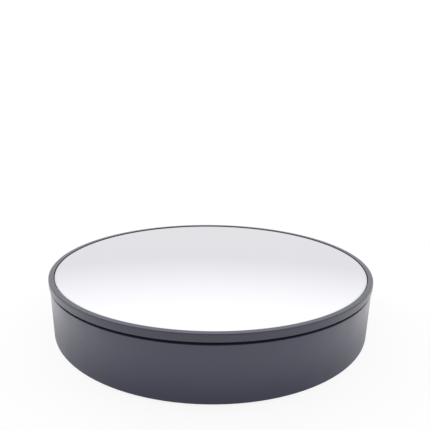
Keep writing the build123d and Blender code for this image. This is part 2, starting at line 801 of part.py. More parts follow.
case_screw = screw(case_screw_r, lid_top_z - case_z + case_screw_bite, case_head_r, case_head_h)
with BuildPart() as gearbox_screws:
    with Locations(*[(x, y, case_z) for x, y in case_posts]):
        add(case_screw)
gearbox_screws.part.label = "gearbox_screws"
export_step(gearbox_screws.part, "parts/gearbox_screws.step")

# Motor: can, shaft with its pinion, terminals, and two screws through the gearbox floor
with BuildPart() as motor_can:
    with BuildSketch(Plane.XY.offset(motor_z)):
        with Locations(motor_at):
            Circle(motor_r)
    extrude(amount=motor_h)
    with BuildSketch(Plane.XY.offset(case_z - motor_screw_bite)):
        with Locations(*motor_screw_spots):
            RegularPolygon(motor_screw_r + seat_fit, screw_sides)
    extrude(amount=motor_screw_bite, mode=Mode.SUBTRACT)
motor_can.part.label = "motor_can"
export_step(motor_can.part, "parts/motor_can.step")

terminal_x = [motor_at[0] + side * terminal_pitch / 2 for side in (-1, 1)]
terminal_y = motor_at[1] + math.sqrt(motor_r ** 2 - (terminal_pitch / 2) ** 2)
with BuildPart() as motor_terminals:
    with BuildSketch(Plane.XY.offset(motor_z + terminal_w)):
        with Locations(*[(x, terminal_y) for x in terminal_x]):
            Rectangle(terminal_w, terminal_l, align=(Align.CENTER, Align.MIN))
    extrude(amount=terminal_t)
    with BuildSketch(Plane.XY.offset(motor_z)):
        with Locations(motor_at):
            Circle(motor_r)
    extrude(amount=motor_h, mode=Mode.SUBTRACT)
motor_terminals.part.label = "motor_terminals"
export_step(motor_terminals.part, "parts/motor_terminals.step")

with BuildPart() as motor_shaft:
    with BuildSketch(Plane.XY.offset(case_z)):
        with Locations(motor_at):
            Circle(motor_shaft_r)
    extrude(amount=level_z[0] + gear_t - case_z)
motor_shaft.part.label = "motor_shaft"
export_step(motor_shaft.part, "parts/motor_shaft.step")

with BuildPart() as motor_pinion:
    with BuildSketch(Plane.XY.offset(level_z[0])):
        with Locations(motor_at):
            add(small_face(train_module, small_teeth, motor_small_phase))
            Circle(motor_shaft_r + seat_fit, mode=Mode.SUBTRACT)
    extrude(amount=gear_t)
motor_pinion.part.label = "motor_pinion"
export_step(motor_pinion.part, "parts/motor_pinion.step")

motor_screw = screw(motor_screw_r, case_floor_t - motor_head_h + motor_screw_bite, motor_head_r, motor_head_h)
with BuildPart() as motor_screws:
    with Locations(*[Location((x, y, case_floor_z - motor_head_h), (180, 0, 0)) for x, y in motor_screw_spots]):
        add(motor_screw)
motor_screws.part.label = "motor_screws"
export_step(motor_screws.part, "parts/motor_screws.step")

# Battery contacts: backing strips with a dimple for each positive end, and bowed leaf springs.
# The cells lie side by side in turn, so the current runs back and forth and both tags are behind.
strips = [(cell_x[0], cell_x[0], back_y), (cell_x[0], cell_x[1], front_y), (cell_x[1], cell_x[2], back_y),
          (cell_x[2], cell_x[3], front_y), (cell_x[3], cell_x[3], back_y)]
positive_ends = [(cell_x[0], back_y), (cell_x[1], front_y), (cell_x[2], back_y), (cell_x[3], front_y)]
negative_ends = [(x, -y) for x, y in positive_ends]
tag_ends = [(cell_x[0], back_y), (cell_x[3], back_y)]

with BuildPart() as contact_plates:
    with BuildSketch(Plane.XY.offset(contact_z - contact_h / 2)):
        for first_x, last_x, y in strips:
            with Locations(((first_x + last_x) / 2, y - math.copysign(contact_t / 2, y))):
                Rectangle(last_x - first_x + contact_w, contact_t)
    extrude(amount=contact_h)
    for x, y in positive_ends:
        inward = -math.copysign(1, y)
        face_y = y + inward * contact_t
        with BuildSketch(Plane(origin=(x, face_y, contact_z), z_dir=(0, inward, 0))):
            RegularPolygon(dimple_r, screw_sides)
        with BuildSketch(Plane(origin=(x, face_y + inward * dimple_h, contact_z), z_dir=(0, inward, 0))):
            RegularPolygon(dimple_tip_r, screw_sides)
        loft()
    with BuildSketch(Plane.XY.offset(contact_z - contact_t / 2)):
        for x, y in tag_ends:
            with Locations((x, y + tag_l / 2)):
                Rectangle(tag_w, tag_l)
    extrude(amount=contact_t)
contact_plates.part.label = "contact_plates"
export_step(contact_plates.part, "parts/contact_plates.step")

with BuildPart() as contact_springs:
    for x, y in negative_ends:
        inward = -math.copysign(1, y)
        root_y = y + inward * contact_t
        half = contact_h / 2
        with BuildSketch(Plane(origin=(x, root_y, contact_z), x_dir=(0, inward, 0), z_dir=(inward, 0, 0))):
            with BuildLine():
                Polyline(
                    (0, -half), (contact_t, -half), (leaf_bow, -leaf_flat / 2), (leaf_bow, leaf_flat / 2),
                    (contact_t, half), (0, half), (leaf_bow - contact_t, leaf_flat / 2),
                    (leaf_bow - contact_t, -leaf_flat / 2), close=True)
            make_face()
        extrude(amount=leaf_w / 2, both=True)
contact_springs.part.label = "contact_springs"
export_step(contact_springs.part, "parts/contact_springs.step")

# Rocker switch: body with its bezel and cavity, two lugs, and the rocker tipped to off
with BuildPart() as switch_body:
    with BuildSketch(rear_plane):
        with Locations((switch_x, switch_z)):
            Rectangle(switch_w, switch_h)
    extrude(amount=switch_l)
    with BuildSketch(rear_plane):
        with Locations((switch_x, switch_z)):
            Rectangle(bezel_w, bezel_h)
    extrude(amount=-bezel_t)
    with BuildSketch(rear_plane.offset(-bezel_t)):
        with Locations((switch_x, switch_z)):
            Rectangle(switch_w - 2 * switch_wall_t, switch_h - 2 * switch_wall_t)
    extrude(amount=bezel_t + cavity_l, mode=Mode.SUBTRACT)
switch_body.part.label = "switch_body"
export_step(switch_body.part, "parts/switch_body.step")

lug_x = [switch_x + side * lug_pitch / 2 for side in (-1, 1)]
with BuildPart() as switch_lugs:
    with BuildSketch(Plane.XZ.offset(-switch_back_y)):
        with Locations(*[(x, switch_z) for x in lug_x]):
            Rectangle(lug_t, lug_w)
    extrude(amount=lug_l)
switch_lugs.part.label = "switch_lugs"
export_step(switch_lugs.part, "parts/switch_lugs.step")

rocker_h = switch_h - 2 * switch_wall_t - 2 * loose_fit
rocker_plane = Plane(origin=(switch_x, pivot_y, switch_z)).rotated((0, 0, -rocker_tilt))
with BuildPart() as switch_rocker:
    with BuildSketch(rocker_plane):
        with BuildLine():
            Polyline(
                (0, -rocker_keel), (rocker_w / 2, 0), (rocker_w / 2, rocker_crest), (0, rocker_valley),
                (-rocker_w / 2, rocker_crest), (-rocker_w / 2, 0), close=True)
        make_face()
    extrude(amount=rocker_h / 2, both=True)
switch_rocker.part.label = "switch_rocker"
export_step(switch_rocker.part, "parts/switch_rocker.step")

# Power inlet behind the panel: body with its bore, and the centre pin
with BuildPart() as dc_jack:
    with BuildSketch(Plane.XZ.offset(-panel_in_y)):
        with Locations((jack_x, board_z - jack_h / 2)):
            Rectangle(jack_w, jack_h)
    extrude(amount=jack_l)
    with BuildSketch(Plane.XZ.offset(-panel_in_y)):
        with Locations((jack_x, jack_z)):
            Circle(jack_bore_r)
    extrude(amount=jack_bore_l, mode=Mode.SUBTRACT)
dc_jack.part.label = "dc_jack"
export_step(dc_jack.part, "parts/dc_jack.step")

with BuildPart() as jack_pin:
    with BuildSketch(Plane.XZ.offset(-panel_in_y + jack_bore_l - jack_pin_l)):
        with Locations((jack_x, jack_z)):
            RegularPolygon(jack_pin_r, screw_sides)
    extrude(amount=jack_pin_l)
jack_pin.part.label = "jack_pin"
export_step(jack_pin.part, "parts/jack_pin.step")

# Control board with its parts on the lower side
with BuildPart() as control_board:
    with BuildSketch(Plane.XY.offset(board_z)):
        with Locations((0, board_y)):
            Rectangle(board_w, board_d)
        with Locations(*board_spots):
            RegularPolygon(board_screw_r + seat_fit, screw_sides, mode=Mode.SUBTRACT)
    extrude(amount=board_t)
control_board.part.label = "control_board"
export_step(control_board.part, "parts/control_board.step")

with BuildPart() as board_parts:
    for x, y, width, depth, height in (
            (0, board_y + chip_shift, chip_w, chip_d, chip_t), (0, board_y + coil_shift, coil_w, coil_w, coil_t),
            (board_w / 2 - capacitor_w, board_y + capacitor_shift, capacitor_w, capacitor_w, capacitor_h)):
        with BuildSketch(Plane.XY.offset(board_z)):
            with Locations((x, y)):
                Rectangle(width, depth)
        extrude(amount=-height)
board_parts.part.label = "board_parts"
export_step(board_parts.part, "parts/board_parts.step")

board_screw = screw(board_screw_r, board_t + board_drop, board_head_r, board_head_h)
with BuildPart() as board_screws:
    with Locations(*[(x, y, board_z) for x, y in board_spots]):
        add(board_screw)
board_screws.part.label = "board_screws"
export_step(board_screws.part, "parts/board_screws.step")

# Wires: each runs level from its tag towards the board, and then up to its solder pad
pad_y = board_front_y + pad_inset
switch_pad_y = pad_y + switch_pad_step
motor_wire_z = motor_z + terminal_w + terminal_t + wire_r
battery_wire_z = contact_z + contact_t / 2 + wire_r
lug_y = switch_back_y - lug_l

with BuildPart() as motor_leads:
    for x, pad_x in zip(terminal_x, motor_pad_x):
        add(wire((x, terminal_y + terminal_l, motor_wire_z), (pad_x, pad_y, motor_wire_z), (pad_x, pad_y, board_z)))
motor_leads.part.label = "motor_leads"
export_step(motor_leads.part, "parts/motor_leads.step")

with BuildPart() as battery_leads:
    for (x, y), pad_x in zip(tag_ends, battery_pad_x):
        add(wire((x, y + tag_l, battery_wire_z), (pad_x, pad_y, battery_wire_z), (pad_x, pad_y, board_z)))
battery_leads.part.label = "battery_leads"
export_step(battery_leads.part, "parts/battery_leads.step")

with BuildPart() as switch_leads:
    for x in lug_x:
        add(wire((x, lug_y, switch_z), (x, switch_pad_y, switch_z), (x, switch_pad_y, board_z)))
switch_leads.part.label = "switch_leads"
export_step(switch_leads.part, "parts/switch_leads.step")

print("rim top at", round(rim_z, 2), "mm")
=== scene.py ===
# Rotating display stand: a low dark drum that carries a turning rim and a round mirror.
# Metres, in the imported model's frame: Z is up and the front faces -Y.

import json
from math import cos, hypot, pi, radians, sin

import bmesh
import bpy
from mathutils import Matrix, Vector


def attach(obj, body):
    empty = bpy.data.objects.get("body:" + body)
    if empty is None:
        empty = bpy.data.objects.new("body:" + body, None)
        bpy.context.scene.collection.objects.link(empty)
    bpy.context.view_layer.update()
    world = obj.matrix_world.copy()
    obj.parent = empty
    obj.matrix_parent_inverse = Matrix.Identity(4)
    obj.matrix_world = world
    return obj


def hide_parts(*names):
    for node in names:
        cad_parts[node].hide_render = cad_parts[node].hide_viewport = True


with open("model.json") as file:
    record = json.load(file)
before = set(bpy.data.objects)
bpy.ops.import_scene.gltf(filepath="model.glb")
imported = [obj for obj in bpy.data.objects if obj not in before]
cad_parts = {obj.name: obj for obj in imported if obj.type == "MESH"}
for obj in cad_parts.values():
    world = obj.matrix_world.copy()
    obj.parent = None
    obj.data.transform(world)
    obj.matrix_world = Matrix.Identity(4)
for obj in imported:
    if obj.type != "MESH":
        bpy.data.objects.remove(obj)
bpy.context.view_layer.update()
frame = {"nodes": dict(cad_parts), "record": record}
nodes = frame["nodes"]
mm = 0.001
quarterTurn = pi / 2
print("stage: frame loaded,", len(nodes), "nodes")

working = {
    "weldGap": 0.002 * mm,   # points nearer than this become one
    "flatAngle": 0.4,        # degrees: faces that turn less than this become one
    "softAngle": 35,         # degrees: edges sharper than this are broken
    "smoothAngle": 30,       # degrees: edges sharper than this stay crisp
    "slack": 0.06 * mm}      # how far off its line or circle a point may lie


# Working in object and edit mode

def objectMode():
    if bpy.context.mode != "OBJECT":
        bpy.ops.object.mode_set(mode="OBJECT")


def deselectAll():
    objectMode()
    bpy.ops.object.select_all(action="DESELECT")


def selectOnly(obj):
    deselectAll()
    obj.select_set(True)
    bpy.context.view_layer.objects.active = obj


def editMode(obj, kind):
    # kind is VERT, EDGE or FACE; nothing is selected at first
    selectOnly(obj)
    bpy.ops.object.mode_set(mode="EDIT")
    bpy.ops.mesh.select_mode(type=kind)
    bpy.ops.mesh.select_all(action="DESELECT")


def pick(obj, kind, wanted):
    # selects the points, edges or faces that wanted says yes to, and no others
    bm = bmesh.from_edit_mesh(obj.data)
    for part in {"VERT": bm.verts, "EDGE": bm.edges, "FACE": bm.faces}[kind]:
        part.select_set(wanted(part))
    bmesh.update_edit_mesh(obj.data)


def applyPlace():
    # the place, turn and scale of what is selected go into its mesh
    bpy.ops.object.transform_apply(location=True, rotation=True, scale=True)


def applyModifier(obj, kind, **settings):
    selectOnly(obj)
    made = obj.modifiers.new(kind.lower(), kind)
    for key, value in settings.items():
        setattr(made, key, value)
    bpy.ops.object.modifier_apply(modifier=made.name)


def newObject(name, data):
    obj = bpy.data.objects.new(name, data)
    bpy.context.scene.collection.objects.link(obj)
    return obj


def nodeCopy(node, name):
    # a welded copy of a CAD node, with its flat faces whole again
    obj = newObject(name, nodes[node].data.copy())
    selectOnly(obj)
    if obj.data.has_custom_normals:
        bpy.ops.mesh.customdata_custom_splitnormals_clear()
    editMode(obj, "VERT")
    bpy.ops.mesh.select_all(action="SELECT")
    bpy.ops.mesh.remove_doubles(threshold=working["weldGap"])
    bpy.ops.mesh.dissolve_limited(angle_limit=radians(working["flatAngle"]))
    objectMode()
    return obj


def softenEdges(obj, width, segments=2):
    applyModifier(obj, "BEVEL", width=width, segments=segments, limit_method="ANGLE",
                  angle_limit=radians(working["softAngle"]), use_clamp_overlap=True)


def pieceName(node):
    # switch_body gives switchBody
    first, *rest = node.split("_")
    return first + "".join(word.capitalize() for word in rest)


def softNode(node, width, segments=2):
    made = nodeCopy(node, pieceName(node))
    softenEdges(made, width, segments)
    return made


def bevelEdges(obj, wanted, width, segments):
    editMode(obj, "EDGE")
    pick(obj, "EDGE", wanted)
    bpy.ops.mesh.bevel(offset=width, segments=segments, clamp_overlap=True)
    objectMode()


def near(first, second):
    return abs(first - second) < working["slack"]


def onRing(point, radius, height):
    # true for a point on one circle round the Z axis
    return near(hypot(point.x, point.y), radius) and near(point.z, height)


def ringEdge(radius, height):
    return lambda edge: all(onRing(vert.co, radius, height) for vert in edge.verts)


def moveRing(obj, radius, height, share=1, lift=0):
    # the points of one circle round the Z axis: the radius takes its share, the height its lift
    editMode(obj, "VERT")
    pick(obj, "VERT", lambda vert: onRing(vert.co, radius, height))
    bpy.ops.transform.resize(value=(share, share, 1), center_override=(0, 0, height))
    bpy.ops.transform.translate(value=(0, 0, lift))
    objectMode()


def cutAway(obj, cutter):
    # takes the cutter's space out of the piece
    applyModifier(obj, "BOOLEAN", operation="DIFFERENCE", solver="EXACT", object=cutter)
    discard(cutter)


def joined(name, parts):
    selectOnly(parts[0])
    for part in parts[1:]:
        part.select_set(True)
    bpy.ops.object.join()
    parts[0].name = name
    return parts[0]


def dressed(obj, finish):
    obj.data.materials.clear()
    obj.data.materials.append(finish)
    return obj


def discard(*spent):
    for obj in spent:
        bpy.data.objects.remove(obj)


def copyOf(obj, name, place):
    made = newObject(name, obj.data.copy())
    made.matrix_world = place
    return made


def placeAt(spot, direction=(0, 0, 1), turn=0.0):
    # a shape made round the Z axis is stood on the spot, along the direction
    aimed = Vector(direction).to_track_quat("Z", "Y").to_matrix().to_4x4()
    return Matrix.Translation(Vector(spot)) @ aimed @ Matrix.Rotation(turn, 4, "Z")


def around(ring, degrees, height):
    # a spot on a ring round the Z axis
    angle = radians(degrees)
    return (ring * cos(angle), ring * sin(angle), height)


def inMetres(values):
    return [value * mm for value in values]


def profile(points, radius, height=0.0, step=1.0):
    # rings from pairs: a share of the radius, and a rise above the height, counted in steps
    return [(radius * share, height + step * rise) for share, rise in points]


def bothEnds(rings):
    # rings from the axis outwards at the upper end, and their mirror image below them
    return [(radius, -height) for radius, height in rings] + rings[::-1]


def turnedShape(name, rings, sides, bored=False):
    # a disc drawn out ring by ring round the Z axis; a ring is (radius, height)
    deselectAll()
    radius, height = rings[0]
    bpy.ops.mesh.primitive_circle_add(vertices=sides, radius=radius, fill_type="NGON",
                                      location=(0, 0, height))
    obj = bpy.context.active_object
    obj.name = name
    applyPlace()
    editMode(obj, "FACE")
    bpy.ops.mesh.select_all(action="SELECT")
    for nextRadius, nextHeight in rings[1:]:
        rise = {"value": (0, 0, nextHeight - height)}
        bpy.ops.mesh.extrude_region_move(TRANSFORM_OT_translate=rise)
        share = nextRadius / radius
        bpy.ops.transform.resize(value=(share, share, 1), center_override=(0, 0, nextHeight))
        radius, height = nextRadius, nextHeight
    if bored:
        # the two end discs go, and the inner wall joins their edges
        pick(obj, "FACE", lambda face: len(face.verts) == sides)
        bpy.ops.mesh.delete(type="ONLY_FACE")
        bpy.ops.mesh.select_mode(type="EDGE")
        pick(obj, "EDGE", lambda edge: edge.is_boundary)
        bpy.ops.mesh.bridge_edge_loops()
    bpy.ops.mesh.select_all(action="SELECT")
    bpy.ops.mesh.normals_make_consistent(inside=False)
    objectMode()
    return obj


def block(name, size, middle, turn=0.0, soft=0.0):
    # a bar or plate, with its edges broken where soft is given
    deselectAll()
    bpy.ops.mesh.primitive_cube_add(size=1, location=middle, scale=size)
    obj = bpy.context.active_object
    obj.name = name
    obj.rotation_euler = (0, 0, turn)
    applyPlace()
    if soft:
        softenEdges(obj, soft)
    return obj


# Shader maths

class Link:
    # one output socket; arithmetic on it adds Math nodes
    def __init__(self, finish, socket):
        self.finish = finish
        self.socket = socket

    def maths(self, operation, first, second):
        return self.finish.node("Math", {"operation": operation}, {0: first, 1: second})

    def __add__(self, other):
        return self.maths("ADD", self, other)

    def __radd__(self, other):
        return self.maths("ADD", other, self)

    def __sub__(self, other):
        return self.maths("SUBTRACT", self, other)

    def __rsub__(self, other):
        return self.maths("SUBTRACT", other, self)

    def __mul__(self, other):
        return self.maths("MULTIPLY", self, other)

    def __rmul__(self, other):
        return self.maths("MULTIPLY", other, self)

    def __pow__(self, other):
        return self.maths("POWER", self, other)


class Finish:
    # a material, or the world, under construction
    def __init__(self, name, world=None):
        self.material = world or bpy.data.materials.new(name)
        self.material.use_nodes = True
        self.tree = self.material.node_tree
        self.tree.nodes.clear()
        self.place = self.node("TexCoord", {}, {}, "Generated" if world else "Object")

    def node(self, kind, settings, sockets, out=0):
        made = self.tree.nodes.new("ShaderNode" + kind)
        for key, value in settings.items():
            if key == "stops":
                # where a ramp's black stop and its white one stand
                for stop, position in zip(made.color_ramp.elements, value):
                    stop.position = position
            else:
                setattr(made, key, value)
        for key, value in sockets.items():
            socket = made.inputs[key]
            if isinstance(value, Link):
                self.tree.links.new(value.socket, socket)
            else:
                socket.default_value = value
        return Link(self, made.outputs[out]) if made.outputs else made

    def outputs(self, link, *outs):
        # further outputs of the node that the link comes from
        return [Link(self, link.socket.node.outputs[out]) for out in outs]

    def axes(self):
        return self.outputs(self.node("SeparateXYZ", {}, {0: self.place}), 0, 1, 2)

    def fromAxis(self):
        # the distance from the Z axis
        x, y = self.axes()[:2]
        return (x * x + y * y) ** 0.5

    def rays(self):
        # tell a ray from the camera, a ray off gloss and a ray through glass
        path = self.node("LightPath", {}, {})
        return self.outputs(path, "Is Camera Ray", "Is Glossy Ray", "Is Transmission Ray")

    def noise(self, scale, detail, rough, place=None):
        return self.node("TexNoise", {}, {"Vector": place or self.place, "Scale": scale,
                                          "Detail": detail, "Roughness": rough})

    def cells(self, scale):
        return self.node("TexVoronoi", {}, {"Vector": self.place, "Scale": scale}, "Distance")

    def stretched(self, scale, turn=0.0):
        # the place, drawn out along the axes and turned round Z
        return self.node("Mapping", {}, {"Vector": self.place, "Rotation": (0, 0, turn),
                                         "Scale": scale})

    def ramp(self, value, stops):
        return self.node("ValToRGB", {"stops": stops}, {0: value})

    def easeBetween(self, value, limits, levels):
        # goes smoothly from the first level to the second as the value passes the limits
        return self.node("MapRange", {"interpolation_type": "SMOOTHSTEP"},
                         {"Value": value, "From Min": limits[0], "From Max": limits[1],
                          "To Min": levels[0], "To Max": levels[1]})

    def blend(self, amount, first, second):
        return self.node("Mix", {"data_type": "RGBA"}, {0: amount, 6: first, 7: second}, 2)

    def mixShaders(self, amount, first, second):
        return self.node("MixShader", {}, {0: amount, 1: first, 2: second})

    def close(self, colour, rough, relief=None, others={}):
        # relief is the bump's height, strength and distance; others are sockets with one number
        sockets = {"Base Color": colour, "Roughness": rough, **others}
        if relief:
            names = ("Height", "Strength", "Distance")
            sockets["Normal"] = self.node("Bump", {}, dict(zip(names, relief)))
        shader = self.node("BsdfPrincipled", {}, sockets)
        self.node("OutputMaterial", {}, {"Surface": shader})
        return self.material


def tint(colour, level=1):
    return tuple(part * level for part in colour) + (1,)


def tints(colour, levels):
    return [tint(colour, level) for level in levels]


# Finishes. A noise is its waves per metre, detail and roughness; stops are where a ramp is black
# and where it is white; a "Rough" value adds to the roughness.
# Moulded plastic: a fine spark-eroded grain, slow flow marks, rubbed patches and a little dust
plasticLook = {
    "fine": (3, 0.6), "pores": 0.55, "flow": (22, 3, 0.5), "clouds": (70, 5, 0.62),
    "rubs": (28, 3, 0.55), "rubStops": (0.50, 0.78), "dust": (900, 2, 0.5),
    "dustStops": (0.70, 0.78), "flowLevels": (0.93, 1.07), "cloudLevel": 1.16,
    "cloudShare": 0.35, "dustColour": (0.42, 0.42, 0.44), "dustShare": 0.10,
    "grainRough": 0.10, "cloudRough": 0.08, "wear": 0.06, "grainShare": 0.7,
    "poreShare": 0.3, "relief": 0.05 * mm, "coatRough": 0.20}


def mouldedPlastic(name, colour, rough, grain=3200, grainDepth=0.06, specular=0.35, coat=0.0):
    s = plasticLook
    make = Finish(name)
    fine = make.noise(grain, *s["fine"])
    pores = make.cells(grain * s["pores"])
    flow = make.noise(*s["flow"])
    cloud = make.noise(*s["clouds"])
    rubbed = make.ramp(make.noise(*s["rubs"]), s["rubStops"])
    speck = make.ramp(make.noise(*s["dust"]), s["dustStops"])
    tone = make.blend(flow, *tints(colour, s["flowLevels"]))
    tone = make.blend(cloud * s["cloudShare"], tone, tint(colour, s["cloudLevel"]))
    tone = make.blend(speck * s["dustShare"], tone, tint(s["dustColour"]))
    sheen = (fine - 0.5) * s["grainRough"] + (cloud - 0.5) * s["cloudRough"]
    sheen = sheen - rubbed * s["wear"] + rough
    height = fine * s["grainShare"] + pores * s["poreShare"]
    return make.close(tone, sheen, (height, grainDepth, s["relief"]),
                      {"Specular IOR Level": specular, "Coat Weight": coat,
                       "Coat Roughness": s["coatRough"]})


# Silvered glass: a bright coat, faint wipe marks and dust, and painted shade on the silver round
# its edge, beside the rim
silverLook = {
    "colour": (0.945, 0.943, 0.995), "hazeColour": (0.905, 0.908, 0.965),
    # the colour, share and ring of painted shade on the silver round its edge, beside the rim
    "haze": (26, 5, 0.6), "hazeShare": 0.2, "edgeColour": (0.52, 0.55, 0.56),
    "edgeShare": 0.45, "edge": (95.2 * mm, 96.9 * mm), "wipes": (1.0, 5, 0.6),
    "wipeScale": (9, 46, 20), "wipeTurn": 0.6, "wipeStops": (0.48, 0.80),
    "dust": (1500, 2, 0.5), "dustStops": (0.73, 0.80), "wipeRough": 0.035,
    "dustRough": 0.12, "hazeRough": 0.012, "rough": 0.008, "coat": 0.3, "coatRough": 0.02}


def mirrorTop(name):
    s = silverLook
    make = Finish(name)
    # painted shade: the silver darkens towards the disc's edge, beside the rim
    edge = make.easeBetween(make.fromAxis(), s["edge"], (0, 1))
    streaks = make.noise(*s["wipes"], make.stretched(s["wipeScale"], s["wipeTurn"]))
    wipes = make.ramp(streaks, s["wipeStops"])
    haze = make.noise(*s["haze"])
    dust = make.ramp(make.noise(*s["dust"]), s["dustStops"])
    silver = make.blend(haze * s["hazeShare"], tint(s["colour"]), tint(s["hazeColour"]))
    silver = make.blend(edge * s["edgeShare"], silver, tint(s["edgeColour"]))
    sheen = wipes * s["wipeRough"] + dust * s["dustRough"] + haze * s["hazeRough"] + s["rough"]
    return make.close(silver, sheen, None, {"Metallic": 1.0, "Coat Weight": s["coat"],
                                            "Coat Roughness": s["coatRough"]})


glassEdgeLook = {
    "chips": (1400, 4, 0.7), "streaks": (160, 3, 0.5), "dark": (0.30, 0.40, 0.37),
    "pale": (0.46, 0.56, 0.52), "rough": 0.16, "chipRough": 0.22, "coat": 0.6,
    "depth": 0.15, "relief": 0.05 * mm}


def glassEdge(name):
    s = glassEdgeLook
    make = Finish(name)
    chips = make.noise(*s["chips"])
    tone = make.blend(make.noise(*s["streaks"]), tint(s["dark"]), tint(s["pale"]))
    return make.close(tone, chips * s["chipRough"] + s["rough"],
                      (chips, s["depth"], s["relief"]), {"Coat Weight": s["coat"]})


# Metal: fine tool lines along one direction, with stains
metalLook = {
    "lines": (260, 4, 0.65), "stains": (120, 5, 0.6), "levels": (0.82, 1.08),
    "lineRough": 0.16, "stainRough": 0.12, "depth": 0.05, "relief": 0.04 * mm}


def metal(name, colour, rough, line=(1, 1, 14)):
    s = metalLook
    make = Finish(name)
    lines = make.noise(*s["lines"], make.stretched(line))
    stain = make.noise(*s["stains"])
    sheen = lines * s["lineRough"] + stain * s["stainRough"] + rough
    return make.close(make.blend(stain, *tints(colour, s["levels"])), sheen,
                      (lines, s["depth"], s["relief"]), {"Metallic": 1.0})


# Rubber and soft insulation: a matt skin with a paler bloom
rubberLook = {
    "grain": (2400, 4, 0.6), "bloom": (90, 5, 0.62), "bloomStops": (0.45, 0.75),
    "levels": (1.0, 2.1), "bloomShare": 0.5, "bloomRough": 0.1, "grainRough": 0.1,
    "rough": 0.62, "specular": 0.3, "depth": 0.2, "relief": 0.05 * mm}


def rubber(name, colour):
    s = rubberLook
    make = Finish(name)
    fine = make.noise(*s["grain"])
    bloom = make.ramp(make.noise(*s["bloom"]), s["bloomStops"])
    tone = make.blend(bloom * s["bloomShare"], *tints(colour, s["levels"]))
    sheen = bloom * s["bloomRough"] + fine * s["grainRough"] + s["rough"]
    return make.close(tone, sheen, (fine, s["depth"], s["relief"]),
                      {"Specular IOR Level": s["specular"]})


foamLook = {
    "pores": 2600, "clouds": (240, 4, 0.6), "dark": (0.70, 0.70, 0.66),
    "pale": (0.82, 0.82, 0.79), "rough": 0.85, "depth": 0.4, "relief": 0.08 * mm}


def foam(name):
    s = foamLook
    make = Finish(name)
    pores = make.cells(s["pores"])
    tone = make.blend(make.noise(*s["clouds"]), tint(s["dark"]), tint(s["pale"]))
    return make.close(tone, s["rough"], (pores, s["depth"], s["relief"]))


# Circuit board: solder mask over faint copper runs
boardLook = {
    "gap": 0.14 * mm, "long": 4.6 * mm, "row": 1.15 * mm, "breaks": (230, 2, 0.5),
    "breakStops": (0.44, 0.47), "weave": (1900, 3, 0.5),
    "mask": (0.012, 0.13, 0.055), "track": (0.030, 0.24, 0.10), "rough": 0.28,
    "weaveRough": 0.12, "weaveShare": 0.3, "coat": 0.25, "depth": 0.25,
    "relief": 0.05 * mm}


def boardGreen(name):
    s = boardLook
    make = Finish(name)
    bricks = make.node("TexBrick",
                       {"offset": 0.37, "squash": 0.6, "squash_frequency": 3},
                       {"Vector": make.place, "Scale": 1.0, "Mortar Size": s["gap"],
                        "Mortar Smooth": 0.1, "Brick Width": s["long"], "Row Height": s["row"]},
                       "Fac")
    track = bricks * make.ramp(make.noise(*s["breaks"]), s["breakStops"])
    weave = make.noise(*s["weave"])
    height = track + weave * s["weaveShare"]
    tone = make.blend(track, tint(s["mask"]), tint(s["track"]))
    return make.close(tone, weave * s["weaveRough"] + s["rough"],
                      (height, s["depth"], s["relief"]), {"Coat Weight": s["coat"]})


darkBase = (0.0435, 0.0437, 0.0800)
darkTop = (0.0430, 0.0427, 0.0680)
satin = {"grain": 5200, "grainDepth": 0.02}  # so fine that the plastic looks smooth
nylon = {"grain": 2600, "specular": 0.5}
finishes = {
    "base_plastic": mouldedPlastic("basePlastic", darkBase, 0.33, specular=0.40, coat=0.65),
    "platter_plastic": mouldedPlastic(
        "platterPlastic", darkTop, 0.33, grain=4200, grainDepth=0.04, specular=0.5, coat=0.35),
    "mirror_glass": mirrorTop("mirrorSilver"),
    "foam_tape": foam("foamTape"),
    "gear_plastic": mouldedPlastic("gearAcetal", (0.78, 0.76, 0.68), 0.40, **nylon),
    "roller_plastic": mouldedPlastic("rollerNylon", (0.72, 0.71, 0.68), 0.38, **nylon),
    "steel": metal("screwSteel", (0.62, 0.62, 0.63), 0.22),
    "bearing_brass": metal("bearingBrass", (0.76, 0.56, 0.27), 0.20),
    "foot_rubber": rubber("footRubber", (0.026, 0.026, 0.028)),
    "switch_plastic": mouldedPlastic(
        "switchPlastic", (0.020, 0.020, 0.022), 0.26, **satin, specular=0.5),
    "contact_metal": metal("contactNickel", (0.72, 0.71, 0.68), 0.18, line=(14, 1, 1)),
    "wire_insulation": rubber("wireRed", (0.42, 0.022, 0.020)),
    "board_laminate": boardGreen("boardGreen"),
    "component_plastic": mouldedPlastic(
        "componentBlack", (0.022, 0.022, 0.024), 0.50, grain=5200, specular=0.4),
    "gearbox_plastic": mouldedPlastic("gearboxPlastic", (0.050, 0.050, 0.054), 0.46),
    "motor_steel": metal("motorSteel", (0.56, 0.56, 0.57), 0.24, line=(1, 1, 9))}
wireBlack = rubber("wireBlack", (0.016, 0.016, 0.017))
markWhite = mouldedPlastic("markWhite", (0.74, 0.74, 0.72), 0.45, **satin)
ferrite = mouldedPlastic("ferriteGrey", (0.060, 0.058, 0.056), 0.60, grain=4200, grainDepth=0.12)
copperWire = metal("copperWire", (0.72, 0.33, 0.17), 0.24, line=(1, 1, 30))
solder = metal("solderTin", (0.70, 0.70, 0.69), 0.26, line=(1, 1, 1))
sleeveBlue = mouldedPlastic("sleeveBlue", (0.020, 0.035, 0.110), 0.34, **satin, specular=0.5)

bodyOf = {
    node: body for body, members in frame["record"]["behaviour"]["bodies"].items()
    for node in members}
slotOf = {row["node"]: row["material_slot"] for row in frame["record"]["subparts"]}
for node, slot in slotOf.items():
    for place in nodes[node].material_slots:
        place.material = finishes[slot]
print("stage: finishes made")


def finishPiece(obj, body, finish, replaced=(), smoothAngle=working["smoothAngle"]):
    # finish is None where the piece has its materials already
    selectOnly(obj)
    applyPlace()
    bpy.ops.object.shade_smooth_by_angle(angle=radians(smoothAngle))
    applyModifier(obj, "WEIGHTED_NORMAL", keep_sharp=True)
    if finish is not None:
        dressed(obj, finish)
    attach(obj, body)
    if replaced:
        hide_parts(*replaced)


